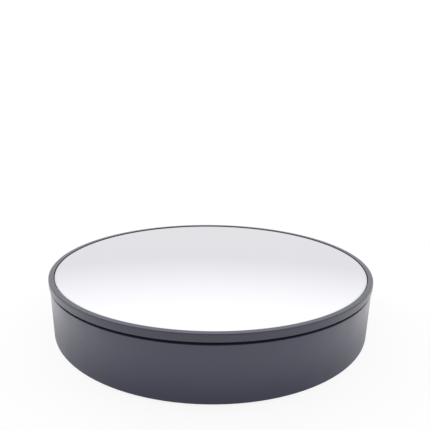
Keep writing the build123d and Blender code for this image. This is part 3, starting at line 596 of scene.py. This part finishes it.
def finishNode(obj, node, smoothAngle=working["smoothAngle"], ready=False):
    # the piece stands for its CAD node, on the node's body and in its slot
    finish = None if ready else finishes[slotOf[node]]
    finishPiece(obj, bodyOf[node], finish, [node], smoothAngle)


# Turning top: the first two lines are the solid's own rings; a round is its width and steps
platterSettings = {
    "outer": 100.0 * mm, "bevelIn": 99.3 * mm, "recess": 97.26 * mm,
    "rimZ": 35.35 * mm, "breakZ": 34.65 * mm, "recessZ": 31.9 * mm, "skirtZ": 31.7 * mm,
    "edgeBreak": 0.45 * mm, "crown": (0.08 * mm, 3), "lip": 97.1 * mm,
    "lipRound": (0.12 * mm, 3), "skirtRound": (0.35 * mm, 4), "skirtDrop": -0.2 * mm}


def buildPlatter(s):
    top = nodeCopy("platter", "platterTop")
    for height in (s["recessZ"], s["rimZ"]):
        moveRing(top, s["recess"], height, s["lip"] / s["recess"])
    moveRing(top, s["outer"], s["skirtZ"], lift=s["skirtDrop"])
    # the rim's outer edge is broken more finely than on the solid
    flatRadius, breakHeight = s["outer"] - s["edgeBreak"], s["rimZ"] - s["edgeBreak"]
    moveRing(top, s["bevelIn"], s["rimZ"], flatRadius / s["bevelIn"])
    moveRing(top, s["outer"], s["breakZ"], lift=breakHeight - s["breakZ"])
    bevelEdges(top, ringEdge(s["outer"], breakHeight), *s["crown"])
    bevelEdges(top, ringEdge(flatRadius, s["rimZ"]), *s["crown"])
    bevelEdges(top, ringEdge(s["lip"], s["rimZ"]), *s["lipRound"])
    bevelEdges(top, ringEdge(s["outer"], s["skirtZ"] + s["skirtDrop"]), *s["skirtRound"])
    finishNode(top, "platter")


buildPlatter(platterSettings)

# Mirror disc with ground edges; radius, low and high are the solid's own
mirrorSettings = {
    "radius": 96.9 * mm, "low": 32.4 * mm, "high": 34.4 * mm, "cut": 96.7 * mm,
    "raise": 0.42 * mm, "ground": (0.2 * mm, 2), "seam": (0.2 * mm, 1),
    "flat": 0.99, "smoothAngle": 20}


def buildMirror(s):
    # its face stands closer under the rim than the solid's does, with a narrow gap round it
    disc = nodeCopy("mirror", "mirrorDisc")
    cut = s["cut"] / s["radius"]
    moveRing(disc, s["radius"], s["high"], cut, s["raise"])
    moveRing(disc, s["radius"], s["low"], cut)
    bevelEdges(disc, ringEdge(s["cut"], s["high"] + s["raise"]), *s["ground"])
    bevelEdges(disc, ringEdge(s["cut"], s["low"]), *s["seam"])
    dressed(disc, finishes["mirror_glass"])
    disc.data.materials.append(glassEdge("mirrorEdge"))
    for face in disc.data.polygons:
        face.material_index = 0 if abs(face.normal.z) > s["flat"] else 1
    finishNode(disc, "mirror", s["smoothAngle"], ready=True)


buildMirror(mirrorSettings)

# Drum with softened outer edges; its radii and heights are the solid's own
baseSettings = {
    "topRadius": 99.45 * mm, "topZ": 30.2 * mm, "curbIn": 97.25 * mm,
    "lowRadius": 98.7 * mm, "lowZ": 1.0 * mm, "topDrop": -0.2 * mm,
    "topRound": (0.35 * mm, 4), "curbRound": (0.35 * mm, 3), "lowRound": (0.5 * mm, 4),
    "plugRound": (0.4 * mm, 2),
    "panelY": 94.0 * mm, "windowLow": 4.0 * mm, "windowHigh": 20.0 * mm,
    "plugX": 20.0 * mm, "plugZ": 12.5 * mm, "plugRadius": 4.0 * mm,
    "crease": 6, "squareOn": 0.999}


def windowEdge(s):
    # true for the outline of the flat window at the back
    front, low, high = (s[key] for key in ("panelY", "windowLow", "windowHigh"))

    def inWindow(point):
        return ((point.y > front or near(point.y, front))
                and (low < point.z < high or near(point.z, low) or near(point.z, high)))

    def wanted(edge):
        return (all(inWindow(vert.co) for vert in edge.verts)
                and edge.calc_face_angle(0) > radians(s["crease"])
                and any(max(abs(face.normal.y), abs(face.normal.z)) > s["squareOn"]
                        for face in edge.link_faces))
    return wanted


def plugEdge(s):
    # true for the plug hole's edge in the window
    def onHole(point):
        fromMiddle = hypot(point.x - s["plugX"], point.z - s["plugZ"])
        return near(point.y, s["panelY"]) and near(fromMiddle, s["plugRadius"])
    return lambda edge: all(onHole(vert.co) for vert in edge.verts)


def buildBase(s):
    drum = nodeCopy("base_housing", "baseDrum")
    for radius in (s["topRadius"], s["curbIn"]):
        moveRing(drum, radius, s["topZ"], lift=s["topDrop"])
    bevelEdges(drum, ringEdge(s["topRadius"], s["topZ"] + s["topDrop"]), *s["topRound"])
    bevelEdges(drum, ringEdge(s["curbIn"], s["topZ"] + s["topDrop"]), *s["curbRound"])
    bevelEdges(drum, ringEdge(s["lowRadius"], s["lowZ"]), *s["lowRound"])
    # the window keeps a crisp outline, and the plug hole's edge is broken
    editMode(drum, "EDGE")
    pick(drum, "EDGE", windowEdge(s))
    bpy.ops.mesh.mark_sharp()
    objectMode()
    bevelEdges(drum, plugEdge(s), *s["plugRound"])
    finishNode(drum, "base_housing")


buildBase(baseSettings)
print("stage: main forms made")

# CAD forms that are right as they are get their edges broken; widths in millimetres
softPieces = {
    "bottom_cover": 0.25, "switch_body": 0.30, "gearbox_case": 0.30, "gearbox_lid": 0.25,
    "platter_gear": 0.12, "drive_pinion": 0.10, "first_gear": 0.08, "output_gear": 0.08,
    "motor_pinion": 0.06, "contact_plates": 0.07, "contact_springs": 0.05,
    "motor_terminals": 0.08, "switch_lugs": 0.10, "mirror_tape": 0.08, "spindle_bush": 0.20,
    "output_bush": 0.15, "output_shaft": 0.20, "motor_shaft": 0.12, "gear_pin": 0.12}
for node, width in softPieces.items():
    finishNode(softNode(node, width * mm), node)
print("stage: edges of", len(softPieces), "pieces broken")

# Pan-head screws with a cross recess and rolled threads, in millimetres. Each kind is made once,
# head down; way is -1 for a kind that goes in from above.
smallScrew = {"shank": 0.95, "head": 1.85, "tall": 1.4, "pitch": 0.90, "way": 1}
screwKinds = {
    "cover_screws": {
        "shank": 1.25, "length": 12.0, "head": 2.45, "tall": 1.6, "pitch": 1.10, "way": 1,
        "spots": [(x, y, 3.4) for x in (-60.81, 60.81) for y in (-60.81, 60.81)]},
    "gearbox_screws": {
        **smallScrew, "length": 10.6,
        "spots": [(x, y, 14.3) for x in (21.26, 57.46) for y in (-10.94, 15.62)]},
    "board_screws": {
        **smallScrew, "length": 4.5, "spots": [(x, 63.6, 19.0) for x in (-29.0, 29.0)]},
    "motor_screws": {
        "shank": 0.76, "length": 2.8, "head": 1.5, "tall": 0.7, "pitch": 0.45, "way": -1,
        "spots": [(49.66, y, 15.1) for y in (-7.0, 7.0)]}}
# shares of the head's radius and height, and of the shank's radius and length
screwForm = {
    "head": [(0.40, -1), (0.72, -0.95), (0.92, -0.72), (1, -0.40), (1, -0.06), (0.97, 0)],
    "neck": 0.86, "root": 0.78, "threadFrom": 0.06, "threadLong": 0.82,
    "tip": [(0.74, 0.93), (0.30, 1)], "recess": (1.15, 0.26, 1.1), "sides": 16,
    "turn": 0.4, "turnStep": 1.1}


def screwShape(s, form):
    keys = ("head", "tall", "shank", "length", "pitch")
    head, tall, shank, length, pitch = inMetres(s[key] for key in keys)
    rings = profile(form["head"], head, 0, tall) + [(shank * form["neck"], 0)]
    for k in range(int(length * form["threadLong"] / pitch)):
        low = length * form["threadFrom"] + k * pitch
        rings += [(shank * form["root"], low), (shank, low + 0.5 * pitch)]
    rings += profile(form["tip"], shank, 0, length)
    screw = turnedShape("screw", rings, form["sides"])
    long, wide, deep = form["recess"]
    for turn in (0, quarterTurn):
        slotSize = (head * long, head * wide, tall * deep)
        cutAway(screw, block("recess", slotSize, (0, 0, -tall), turn))
    return screw


def scatterScrews(node, s, form):
    blank = screwShape(s, form)
    parts = []
    for k, spot in enumerate(s["spots"]):
        turn = form["turn"] + form["turnStep"] * k  # no two recesses point the same way
        place = placeAt(inMetres(spot), (0, 0, s["way"]), turn)
        parts.append(copyOf(blank, "screw", place))
    discard(blank)
    finishNode(joined(pieceName(node), parts), node)


for node, settings in screwKinds.items():
    scatterScrews(node, settings, screwForm)
print("stage: screws made")

# Support rollers with turned faces, and their round pins; hub, web and pinTip are shares
rollerSettings = {
    "ring": 80.0 * mm, "height": 26.1 * mm, "angles": (90, 210, 330),
    "bore": 1.12 * mm, "radius": 2.97 * mm, "half": 2.5 * mm, "face": 0.22 * mm,
    "edge": 0.3 * mm, "edgeBow": 0.25, "hub": (1.5, 1.6), "web": (0.78, 0.82),
    "sides": 40, "pin": 0.97 * mm, "pinHalf": 4.25 * mm, "pinTip": 0.7, "pinSides": 20}


def buildRollers(s):
    bore, radius, half, edge = (s[key] for key in ("bore", "radius", "half", "edge"))
    sunk, bow = half - s["face"], edge * s["edgeBow"]
    blank = turnedShape("rollerBlank", bothEnds([
        (bore, half), (bore * s["hub"][0], half), (bore * s["hub"][1], sunk),
        (radius * s["web"][0], sunk), (radius * s["web"][1], half), (radius - edge, half),
        (radius - bow, half - bow), (radius, half - edge)]), s["sides"], True)
    pinBlank = turnedShape("pinBlank", bothEnds([
        (s["pin"] * s["pinTip"], s["pinHalf"]), (s["pin"], s["pinHalf"] - edge)]), s["pinSides"])
    pins = []
    for number, angle in enumerate(s["angles"], 1):
        place = placeAt(around(s["ring"], angle, s["height"]), around(1, angle, 0))
        node = "roller_" + str(number)
        finishNode(copyOf(blank, pieceName(node), place), node)
        pins.append(copyOf(pinBlank, "pin", place))
    discard(blank, pinBlank)
    finishNode(joined("rollerPins", pins), "roller_pins")


buildRollers(rollerSettings)

# Shoulder pin that keeps the top down: domed head, ground neck, rounded end
spindleSettings = {
    "head": 4.30 * mm, "low": 9.8 * mm, "seat": 11.3 * mm, "neck": 2.97 * mm,
    "end": 31.0 * mm, "dome": [(0.45, 0), (0.86, 0.12 * mm), (1, 0.45 * mm)],
    "headBreak": 0.2 * mm, "relief": 0.15 * mm, "reliefTo": 0.5 * mm,
    "groundFrom": 0.7 * mm, "endBreak": 0.5 * mm, "sides": 40}


def buildSpindle(s):
    head, seat, neck, end = (s[key] for key in ("head", "seat", "neck", "end"))
    rings = profile(s["dome"], head, s["low"]) + [
        (head, seat - s["headBreak"]), (head - s["headBreak"], seat),
        (neck - s["relief"], seat), (neck - s["relief"], seat + s["reliefTo"]),
        (neck, seat + s["groundFrom"]), (neck, end - s["endBreak"]), (neck - s["endBreak"], end)]
    finishNode(turnedShape("spindlePin", rings, s["sides"]), "spindle")


buildSpindle(spindleSettings)

# Rubber feet: a domed ring round a shallow dish; the forms are shares of radius and height
footSettings = {
    "ring": 86.0 * mm, "angles": (0, 90, 180, 270), "radius": 5.86 * mm,
    "tall": 1.0 * mm, "dish": 2.7 * mm, "dishDeep": 0.35 * mm, "tread": 4.7 * mm,
    "dishForm": [(0.8, 1), (1, 0.8), (1.12, 0.2), (1.22, 0)], "shoulder": (0.6, 0.14),
    "wallForm": [(0.985, 0.45), (1, 0.8), (1, 1)], "sides": 40, "smoothAngle": 40}


def buildFeet(s):
    across, up = s["shoulder"]
    shoulder = (s["tread"] + (s["radius"] - s["tread"]) * across, s["tall"] * up)
    rings = profile(s["dishForm"], s["dish"], 0, s["dishDeep"]) + [(s["tread"], 0), shoulder]
    rings += profile(s["wallForm"], s["radius"], 0, s["tall"])
    blank = turnedShape("footBlank", rings, s["sides"])
    feet = [copyOf(blank, "foot", placeAt(around(s["ring"], angle, 0))) for angle in s["angles"]]
    discard(blank)
    finishNode(joined("rubberFeet", feet), "rubber_feet", s["smoothAngle"])


buildFeet(footSettings)

# Motor: a drawn can with rolled ends, and a plastic end cap below with a bearing cup.
# A roll's form is in shares of the roll; a cup's or cap's is a share of its radius and a rise.
motorSettings = {
    "x": 49.66 * mm, "low": 4.3 * mm, "high": 14.3 * mm, "radius": 9.96 * mm,
    "roll": 0.7 * mm, "lowRoll": [(-0.8, 0.8), (-0.25, 1.05), (0, 1.6)],
    "highRoll": [(0, -1.2), (-0.3, -0.35), (-1, 0)],
    "eye": 3.4 * mm, "eyeFloor": 3.3 * mm, "eyeDeep": 0.25 * mm,
    "cup": 2.6 * mm, "cupForm": [(0.5, 0), (1, 0.1 * mm), (1.1, 0.5 * mm)],
    "cap": 8.6 * mm, "capForm": [(0.93, 0.5 * mm), (1, 0.65 * mm), (1, 1.6 * mm)],
    "capGap": 0.02 * mm, "sides": 56}


def buildMotor(s):
    radius, roll, low, high = (s[key] for key in ("radius", "roll", "low", "high"))
    rings = [(s["cap"] + s["capGap"], low + roll)]
    for form, height in ((s["lowRoll"], low), (s["highRoll"], high)):
        rings += [(radius + roll * out, height + roll * rise) for out, rise in form]
    rings += [(s["eye"], high), (s["eyeFloor"], high - s["eyeDeep"])]
    can = turnedShape("can", rings, s["sides"])
    rings = profile(s["cupForm"], s["cup"], low) + profile(s["capForm"], s["cap"], low)
    cap = turnedShape("cap", rings, s["sides"])
    motor = joined("motorCan", [dressed(can, finishes["motor_steel"]),
                                dressed(cap, finishes["component_plastic"])])
    motor.location = (s["x"], 0, 0)
    finishNode(motor, "motor_can", ready=True)


buildMotor(motorSettings)
print("stage: turned pieces made")

# Power inlet: the body with a nose that reaches into the panel's hole, and a round pin
jackSettings = {
    "x": 20.0 * mm, "z": 12.5 * mm, "soft": 0.3 * mm, "bore": 3.18 * mm,
    "nose": 3.80 * mm, "noseFrom": 91.3 * mm, "noseLong": 2.0 * mm,
    "noseBreak": (0.2 * mm, 0.3 * mm), "boreBreak": 0.2 * mm, "noseSides": 40,
    "pin": 0.92 * mm, "pinFrom": 81.6 * mm, "pinTo": 90.6 * mm,
    "pinTip": [(1, -0.6 * mm), (0.85, -0.2 * mm), (0.5, 0)], "pinSides": 20}


def buildJack(s):
    def stoodAt(piece, y):
        piece.matrix_world = placeAt((s["x"], y, s["z"]), (0, 1, 0))
        return piece

    body = softNode("dc_jack", s["soft"])
    bore, nose, long = s["bore"], s["nose"], s["noseLong"]
    across, back = s["noseBreak"]
    shape = turnedShape("nose", [(bore, 0), (nose, 0), (nose, long - back), (nose - across, long),
                                 (bore + s["boreBreak"], long), (bore, long - s["boreBreak"])],
                        s["noseSides"], True)
    finishNode(joined("dcJack", [body, stoodAt(shape, s["noseFrom"])]), "dc_jack")
    rings = [(s["pin"], 0)] + profile(s["pinTip"], s["pin"], s["pinTo"] - s["pinFrom"])
    pin = turnedShape("jackPin", rings, s["pinSides"])
    finishNode(stoodAt(pin, s["pinFrom"]), "jack_pin")


buildJack(jackSettings)

# Rocker with moulded-in marks on its wings: a bar for on, a ring for off.
# Pivot, wing, valley, rise and bar are in millimetres, seen from above.
rockerSettings = {
    "pivot": (-20.0, 92.0, 12.5), "tilt": -9.0, "soft": 0.35 * mm, "segments": 3,
    "wing": 3.0, "valley": 2.9, "rise": 1.5 / 5.4, "ringRadius": 1.05 * mm,
    "ringBore": 0.72 * mm, "ringSides": 32, "bar": (0.36, 2.1),
    "markTall": 0.12 * mm, "proud": 0.05 * mm}


def buildRocker(s):
    rocker = softNode("switch_rocker", s["soft"], s["segments"])
    tall = s["markTall"]
    ring = turnedShape("ring", [(s["ringBore"], 0), (s["ringRadius"], 0), (s["ringRadius"], tall),
                                (s["ringBore"], tall)], s["ringSides"], True)
    bar = block("bar", (*inMetres(s["bar"]), tall), (0, 0, tall / 2))
    pivot = Matrix.Translation(Vector(s["pivot"]) * mm)
    tilt = pivot @ Matrix.Rotation(radians(s["tilt"]), 4, "Z")
    for side, mark in ((-1, bar), (1, ring)):
        spot = Vector((side * s["wing"], s["valley"] + s["wing"] * s["rise"], 0)) * mm
        out = Vector((-side * s["rise"], 1, 0)).normalized()
        mark.matrix_world = tilt @ placeAt(spot - out * (tall - s["proud"]), out)
        dressed(mark, markWhite)
    finishNode(joined("switchRocker", [rocker, bar, ring]), "switch_rocker", ready=True)


buildRocker(rockerSettings)

# Battery door with finger ridges beside its latch; the ridges are in millimetres
doorSettings = {
    "soft": 0.25 * mm, "ridges": 5, "ridgeFrom": -70.4, "ridgeStep": 1.7,
    "ridge": (0.8, 11.0, 0.7), "face": 1.0, "proud": 0.35, "ridgeSoft": 0.22 * mm}


def buildDoor(s):
    parts = [softNode("battery_door", s["soft"])]
    height = s["face"] - s["proud"] + s["ridge"][2] / 2
    for k in range(s["ridges"]):
        middle = (s["ridgeFrom"] + k * s["ridgeStep"], 0, height)
        parts.append(block("ridge", inMetres(s["ridge"]), inMetres(middle), 0, s["ridgeSoft"]))
    finishNode(joined("batteryDoor", parts), "battery_door")


buildDoor(doorSettings)

# Plus and minus marks moulded on the bay's ceiling, above each cell's ends, in millimetres
markSettings = {
    "cells": (-66.65, -51.55, -36.45, -21.35), "ends": 19.0, "ceiling": 18.2,
    "bar": (4.2, 0.9, 0.5), "proud": 0.3, "soft": 0.12 * mm}


def buildBayMarks(s):
    parts = []
    height = s["ceiling"] - s["proud"] + s["bar"][2] / 2
    for k, x in enumerate(s["cells"]):
        for y in (-s["ends"], s["ends"]):
            positive = (y > 0) == (k % 2 == 0)  # each cell lies the other way round
            for turn in (0, quarterTurn) if positive else (0,):
                bar = block("mark", inMetres(s["bar"]), inMetres((x, y, height)), turn, s["soft"])
                parts.append(bar)
    finishPiece(joined("bayMarks", parts), "base", finishes["base_plastic"])


buildBayMarks(markSettings)
print("stage: switch, inlet and bay made")

# Control board, with its parts below: a chip on bent legs, a wound coil and a round capacitor.
# Sizes and spots are in millimetres. A leg's bars are (along, tall, out from the chip, down).
boardSettings = {
    "face": 19.0 * mm, "soft": 0.12 * mm,
    "chip": (9.0, 3.9, 1.5), "chipAt": (0.0, 76.6), "chipGap": 0.15 * mm,
    "chipSoft": 0.15 * mm, "legs": 7, "legPitch": 1.2, "legWide": 0.45,
    "legBars": [(0.7, 0.16, 0.2, 0.8), (0.16, 0.8, 0.5, 0.45), (0.5, 0.16, 0.72, 0.1)],
    "core": (6.0, 6.0, 0.7), "coreSoft": 0.3 * mm, "coilAt": (0.0, 67.6),
    "coilTall": 3.0 * mm, "windings": 6, "coilMiddle": 1.4 * mm,
    "coilRadii": (2.45 * mm, 2.65 * mm), "coilSides": 28,
    "capAt": (27.0, 74.6), "capRadius": 2.95 * mm, "capTall": 6.9 * mm, "capSides": 36,
    "capTop": [(0.9, 0), (1, -0.1 * mm), (1, -0.7 * mm), (0.93, -1.0 * mm),
               (1, -1.3 * mm)],
    "capEnd": [(1, 0.25 * mm), (0.9, 0), (0.78, 0)],
    "capLid": [(0.8, 0.4 * mm), (0.8, 0.08 * mm)]}


def chipParts(s):
    x, y = inMetres(s["chipAt"])
    width, depth, tall = inMetres(s["chip"])
    middle = (x, y, s["face"] - tall / 2 - s["chipGap"])
    chip = block("chip", (width, depth, tall), middle, 0, s["chipSoft"])
    parts = [dressed(chip, finishes["component_plastic"])]
    for k in range(s["legs"]):
        legX = x + (k - (s["legs"] - 1) / 2) * s["legPitch"] * mm
        for side in (-1, 1):
            for bar in s["legBars"]:
                along, barTall, out, down = inMetres(bar)
                spot = (legX, y + side * (depth / 2 + out), s["face"] - down)
                leg = block("leg", (s["legWide"] * mm, along, barTall), spot)
                parts.append(dressed(leg, solder))
    return parts


def coilParts(s):
    x, y = inMetres(s["coilAt"])
    wide, deep, thick = inMetres(s["core"])
    low = s["face"] - s["coilTall"]
    parts = []
    for height in (s["face"] - thick / 2, low + thick / 2):
        core = block("core", (wide, deep, thick), (x, y, height), 0, s["coreSoft"])
        parts.append(dressed(core, ferrite))
    groove, crest = s["coilRadii"]
    step = (s["coilTall"] - 2 * thick) / s["windings"]
    rings = [(s["coilMiddle"], 0)]
    for k in range(s["windings"]):
        rings += [(groove, k * step), (crest, (k + 0.5) * step)]
    rings += [(radius, s["windings"] * step) for radius in (groove, s["coilMiddle"])]
    winding = turnedShape("winding", rings, s["coilSides"])
    winding.location = (x, y, low + thick)
    return parts + [dressed(winding, copperWire)]


def capacitorParts(s):
    x, y = inMetres(s["capAt"])
    radius, end = s["capRadius"], -s["capTall"]
    rings = profile(s["capTop"], radius) + profile(s["capEnd"], radius, end)
    sleeve = turnedShape("sleeve", rings, s["capSides"])
    lid = turnedShape("lid", profile(s["capLid"], radius, end), s["capSides"])
    for piece in (sleeve, lid):
        piece.location = (x, y, s["face"])
    return [dressed(sleeve, sleeveBlue), dressed(lid, solder)]


def buildBoard(s):
    parts = chipParts(s) + coilParts(s) + capacitorParts(s)
    finishNode(joined("boardParts", parts), "board_parts", ready=True)
    finishNode(softNode("control_board", s["soft"]), "control_board")


buildBoard(boardSettings)

# Leads, in millimetres: red first, black second. Each runs level from its tag, (x, y, z), to the
# corner under its pad, and then up to the board.
leadSettings = {
    "motor_leads": {"bulge": 1.6, "runs": [((47.66, 12.8, 7.0), (14.0, 61.6, 7.0)),
                                           ((51.66, 12.8, 7.0), (18.0, 61.6, 7.0))]},
    "battery_leads": {"bulge": 1.3, "runs": [((-66.65, 31.7, 11.05), (-14.0, 61.6, 11.05)),
                                             ((-21.35, 31.7, 11.05), (-8.0, 61.6, 11.05))]},
    "switch_leads": {"bulge": 0.6, "runs": [((-23.5, 76.0, 12.5), (-23.5, 65.6, 12.5)),
                                            ((-16.5, 76.0, 12.5), (-16.5, 65.6, 12.5))]}}
# The level run is straight for its start, and then bows aside: (share of its length, share of
# the bulge). The rise is in shares of its own height.
wireSettings = {
    "radius": 0.6 * mm, "padHeight": 19.0 * mm, "straight": 4.0 * mm,
    "straightShare": 0.2, "bows": [(0.42, 1.0), (0.72, -0.7)], "shortOf": 0.06,
    "rise": (0.3, 0.7), "roundSteps": 3, "longSteps": 8, "weldGap": 0.001 * mm,
    "smoothAngle": 60}


def wireRoute(start, corner, bulge, s):
    along = (corner - start).normalized()
    aside = Vector((-along.y, along.x, 0)) * bulge * mm
    length = (corner - start).length
    top = Vector((corner.x, corner.y, s["padHeight"]))
    straight = min(s["straight"], length * s["straightShare"])
    bowed = [start + along * length * share + aside * bow for share, bow in s["bows"]]
    rise = [corner + (top - corner) * share for share in s["rise"]]
    return [start, start + along * straight, *bowed, corner - along * length * s["shortOf"],
            *rise, top]


def wireRun(start, corner, bulge, s):
    # a soft line that cuts inside the corner, with a slight sideways bow
    route = wireRoute(Vector(start) * mm, Vector(corner) * mm, bulge, s)
    data = bpy.data.curves.new("wire", "CURVE")
    data.dimensions = "3D"
    data.bevel_depth = s["radius"]
    data.bevel_resolution = s["roundSteps"]
    data.resolution_u = s["longSteps"]
    data.use_fill_caps = True
    spline = data.splines.new("NURBS")
    spline.points.add(len(route) - 1)
    for point, spot in zip(spline.points, route):
        point.co = (*spot, 1)
    spline.order_u = 3
    spline.use_endpoint_u = True
    selectOnly(newObject("wire", data))
    bpy.ops.object.convert(target="MESH")
    obj = bpy.context.active_object
    editMode(obj, "VERT")
    bpy.ops.mesh.select_all(action="SELECT")
    bpy.ops.mesh.remove_doubles(threshold=s["weldGap"])
    bpy.ops.mesh.normals_make_consistent(inside=False)
    objectMode()
    return obj


def buildLeads(node, lead, s):
    colours = (finishes["wire_insulation"], wireBlack)
    wires = [dressed(wireRun(*run, lead["bulge"], s), colour)
             for run, colour in zip(lead["runs"], colours)]
    finishNode(joined(pieceName(node), wires), node, s["smoothAngle"], ready=True)


for node, lead in leadSettings.items():
    buildLeads(node, lead, wireSettings)

# Solder: a flared joint where a lead meets the board, a bead where it meets its tag.
# The bead's heights are in shares of its length.
solderSettings = {
    "foot": 1.25 * mm, "neck": 0.66 * mm, "tall": 1.3 * mm,
    "footForm": [(1, 0), (0.97, -0.1 * mm)], "flare": (0.72, -0.4),
    "neckForm": [(1.08, -0.8), (1, -1)], "bead": 0.95 * mm, "beadLong": 2.0 * mm,
    "beadForm": [(0.35, -0.5), (0.8, -0.36), (1, -0.08), (1, 0.1), (0.82, 0.36)],
    "beadEnd": (1.02, 0.5), "sides": 24}


def buildSolder(s):
    foot, neck, tall, long = (s[key] for key in ("foot", "neck", "tall", "beadLong"))
    rings = profile(s["footForm"], foot) + profile([s["flare"]], foot, 0, tall)
    rings += profile(s["neckForm"], neck, 0, tall)
    joint = turnedShape("joint", rings, s["sides"])
    rings = profile(s["beadForm"], s["bead"], 0, long) + profile([s["beadEnd"]], neck, 0, long)
    bead = turnedShape("bead", rings, s["sides"])
    parts = []
    for lead in leadSettings.values():
        for run in lead["runs"]:
            start, corner = (Vector(spot) * mm for spot in run)
            pad = placeAt((corner.x, corner.y, wireSettings["padHeight"]))
            parts.append(copyOf(joint, "joint", pad))
            parts.append(copyOf(bead, "bead", placeAt(start, corner - start)))
    discard(joint, bead)
    finishPiece(joined("solderJoints", parts), "base", solder)


buildSolder(solderSettings)
print("stage: board and leads made")

# Floor, light and camera. The floor's pairs are distances from the middle, and levels there.
floorSettings = {
    "size": 6.0, "white": (0.80, 0.80, 0.82), "bounce": (0.36, 0.36, 0.36),
    "shadow": (0.12, 0.34), "shadowLevels": (0.87, 1),
    # near and its levels: the ring of painted shade round the stand, as reflections see the floor
    "near": (0.099, 0.135), "nearLevels": (0.22, 0.98)}


def buildFloor(s):
    # white to the camera and in reflections, with the object's own shadow kept near it; close
    # round the stand, reflections show the floor darkened by painted shade
    deselectAll()
    bpy.ops.mesh.primitive_plane_add(size=s["size"], location=(0, 0, 0))
    floor = bpy.context.active_object
    floor.name = "studioFloor"
    make = Finish("floorWhite")
    radius = make.fromAxis()
    away = make.easeBetween(radius, s["shadow"], s["shadowLevels"])
    # painted shade: close round the stand, reflections see the dim matt floor, with its real
    # shadow, in place of the white glow
    reflectedShade = make.easeBetween(radius, s["near"], s["nearLevels"])
    seen, glossy, through = make.rays()
    paper = make.blend(seen, tint(s["bounce"]), tint(s["white"]))
    diffuse = make.node("BsdfDiffuse", {}, {"Color": paper})
    glow = make.node("Emission", {}, {})
    mixed = make.mixShaders(seen * away + (glossy + through) * reflectedShade, diffuse, glow)
    make.node("OutputMaterial", {}, {"Surface": mixed})
    floor.data.materials.append(make.material)


# The world's limits are parts of a direction of length 1, and each has its levels
worldSettings = {
    "matt": 0.86, "slope": 0.55, "front": (-0.95, -0.25), "frontLevels": (0.32, 1),
    "rise": (0.26, 0.44), "riseLevels": (0.74, 1.08),
    "flank": (0.30, 0.58), "flankLevels": (1, 0.45),
    "low": (0.45, 0.80), "lowLevels": (0.80, 0)}


def buildWorld(s):
    # white behind the stand; for its gloss alone, darker above and in front, as a studio is
    world = bpy.data.worlds.new("studioWorld")
    bpy.context.scene.world = world
    make = Finish("studioWorld", world)
    x, y, z = make.axes()
    seen, glossy, through = make.rays()
    behind = make.easeBetween(y - z * s["slope"], s["front"], s["frontLevels"])
    rise = make.easeBetween(z, s["rise"], s["riseLevels"])
    flank = make.easeBetween(x * x, s["flank"], s["flankLevels"])
    low = make.easeBetween(z, s["low"], s["lowLevels"])
    level = behind.maths("MAXIMUM", behind * rise * flank, low)
    white, matt, gloss = (
        make.node("Background", {}, {"Color": (1, 1, 1, 1), "Strength": strength})
        for strength in (1, s["matt"], level))
    light = make.mixShaders(seen + through, make.mixShaders(glossy, matt, gloss), white)
    make.node("OutputWorld", {}, {"Surface": light})


sideLamp = {"aim": (0, 0, 0.02), "size": (1.2, 0.9)}
lamps = {
    "keyAbove": {"place": (0.0, 0.38, 0.95), "aim": (0, 0, 0), "size": (1.1, 0.8), "power": 1.0},
    "sideLeft": {**sideLamp, "place": (-0.80, 0.30, 0.30), "power": 9.0},
    "sideRight": {**sideLamp, "place": (0.80, 0.30, 0.30), "power": 7.5}}


def softbox(name, s):
    # lights matt surfaces only; in gloss the world is what shows
    data = bpy.data.lights.new(name, "AREA")
    data.shape = "RECTANGLE"
    data.size, data.size_y = s["size"]
    data.energy = s["power"]
    lamp = newObject(name, data)
    lamp.location = s["place"]
    along = Vector(s["aim"]) - Vector(s["place"])
    lamp.rotation_euler = along.to_track_quat("-Z", "Y").to_euler()
    lamp.visible_glossy = False


buildFloor(floorSettings)
buildWorld(worldSettings)
for name, settings in lamps.items():
    softbox(name, settings)

# The photograph's view; angles in degrees, lens and sensor in millimetres
cameraSettings = {
    "place": (0.003683, -0.252556, 0.118049), "down": 11.782, "turn": -0.4005,
    "roll": 0.7692, "lens": 33.408, "sensor": 36.0, "nearest": 10 * mm}


def buildCamera(s):
    down, turn, roll = (radians(s[key]) for key in ("down", "turn", "roll"))
    ahead = Vector((sin(turn) * cos(down), cos(turn) * cos(down), -sin(down)))
    level = Vector((cos(turn), -sin(turn), 0))
    above = level.cross(ahead)
    right = cos(roll) * level + sin(roll) * above
    up = -sin(roll) * level + cos(roll) * above
    data = bpy.data.cameras.new("photoCamera")
    data.sensor_width = s["sensor"]
    data.lens = s["lens"]
    data.clip_start = s["nearest"]
    camera = newObject("photoCamera", data)
    turned = Matrix((right, up, -ahead)).transposed().to_4x4()
    camera.matrix_world = Matrix.Translation(Vector(s["place"])) @ turned
    bpy.context.scene.camera = camera


buildCamera(cameraSettings)
bpy.context.scene.view_settings.view_transform = "Standard"
print("stage: studio ready")
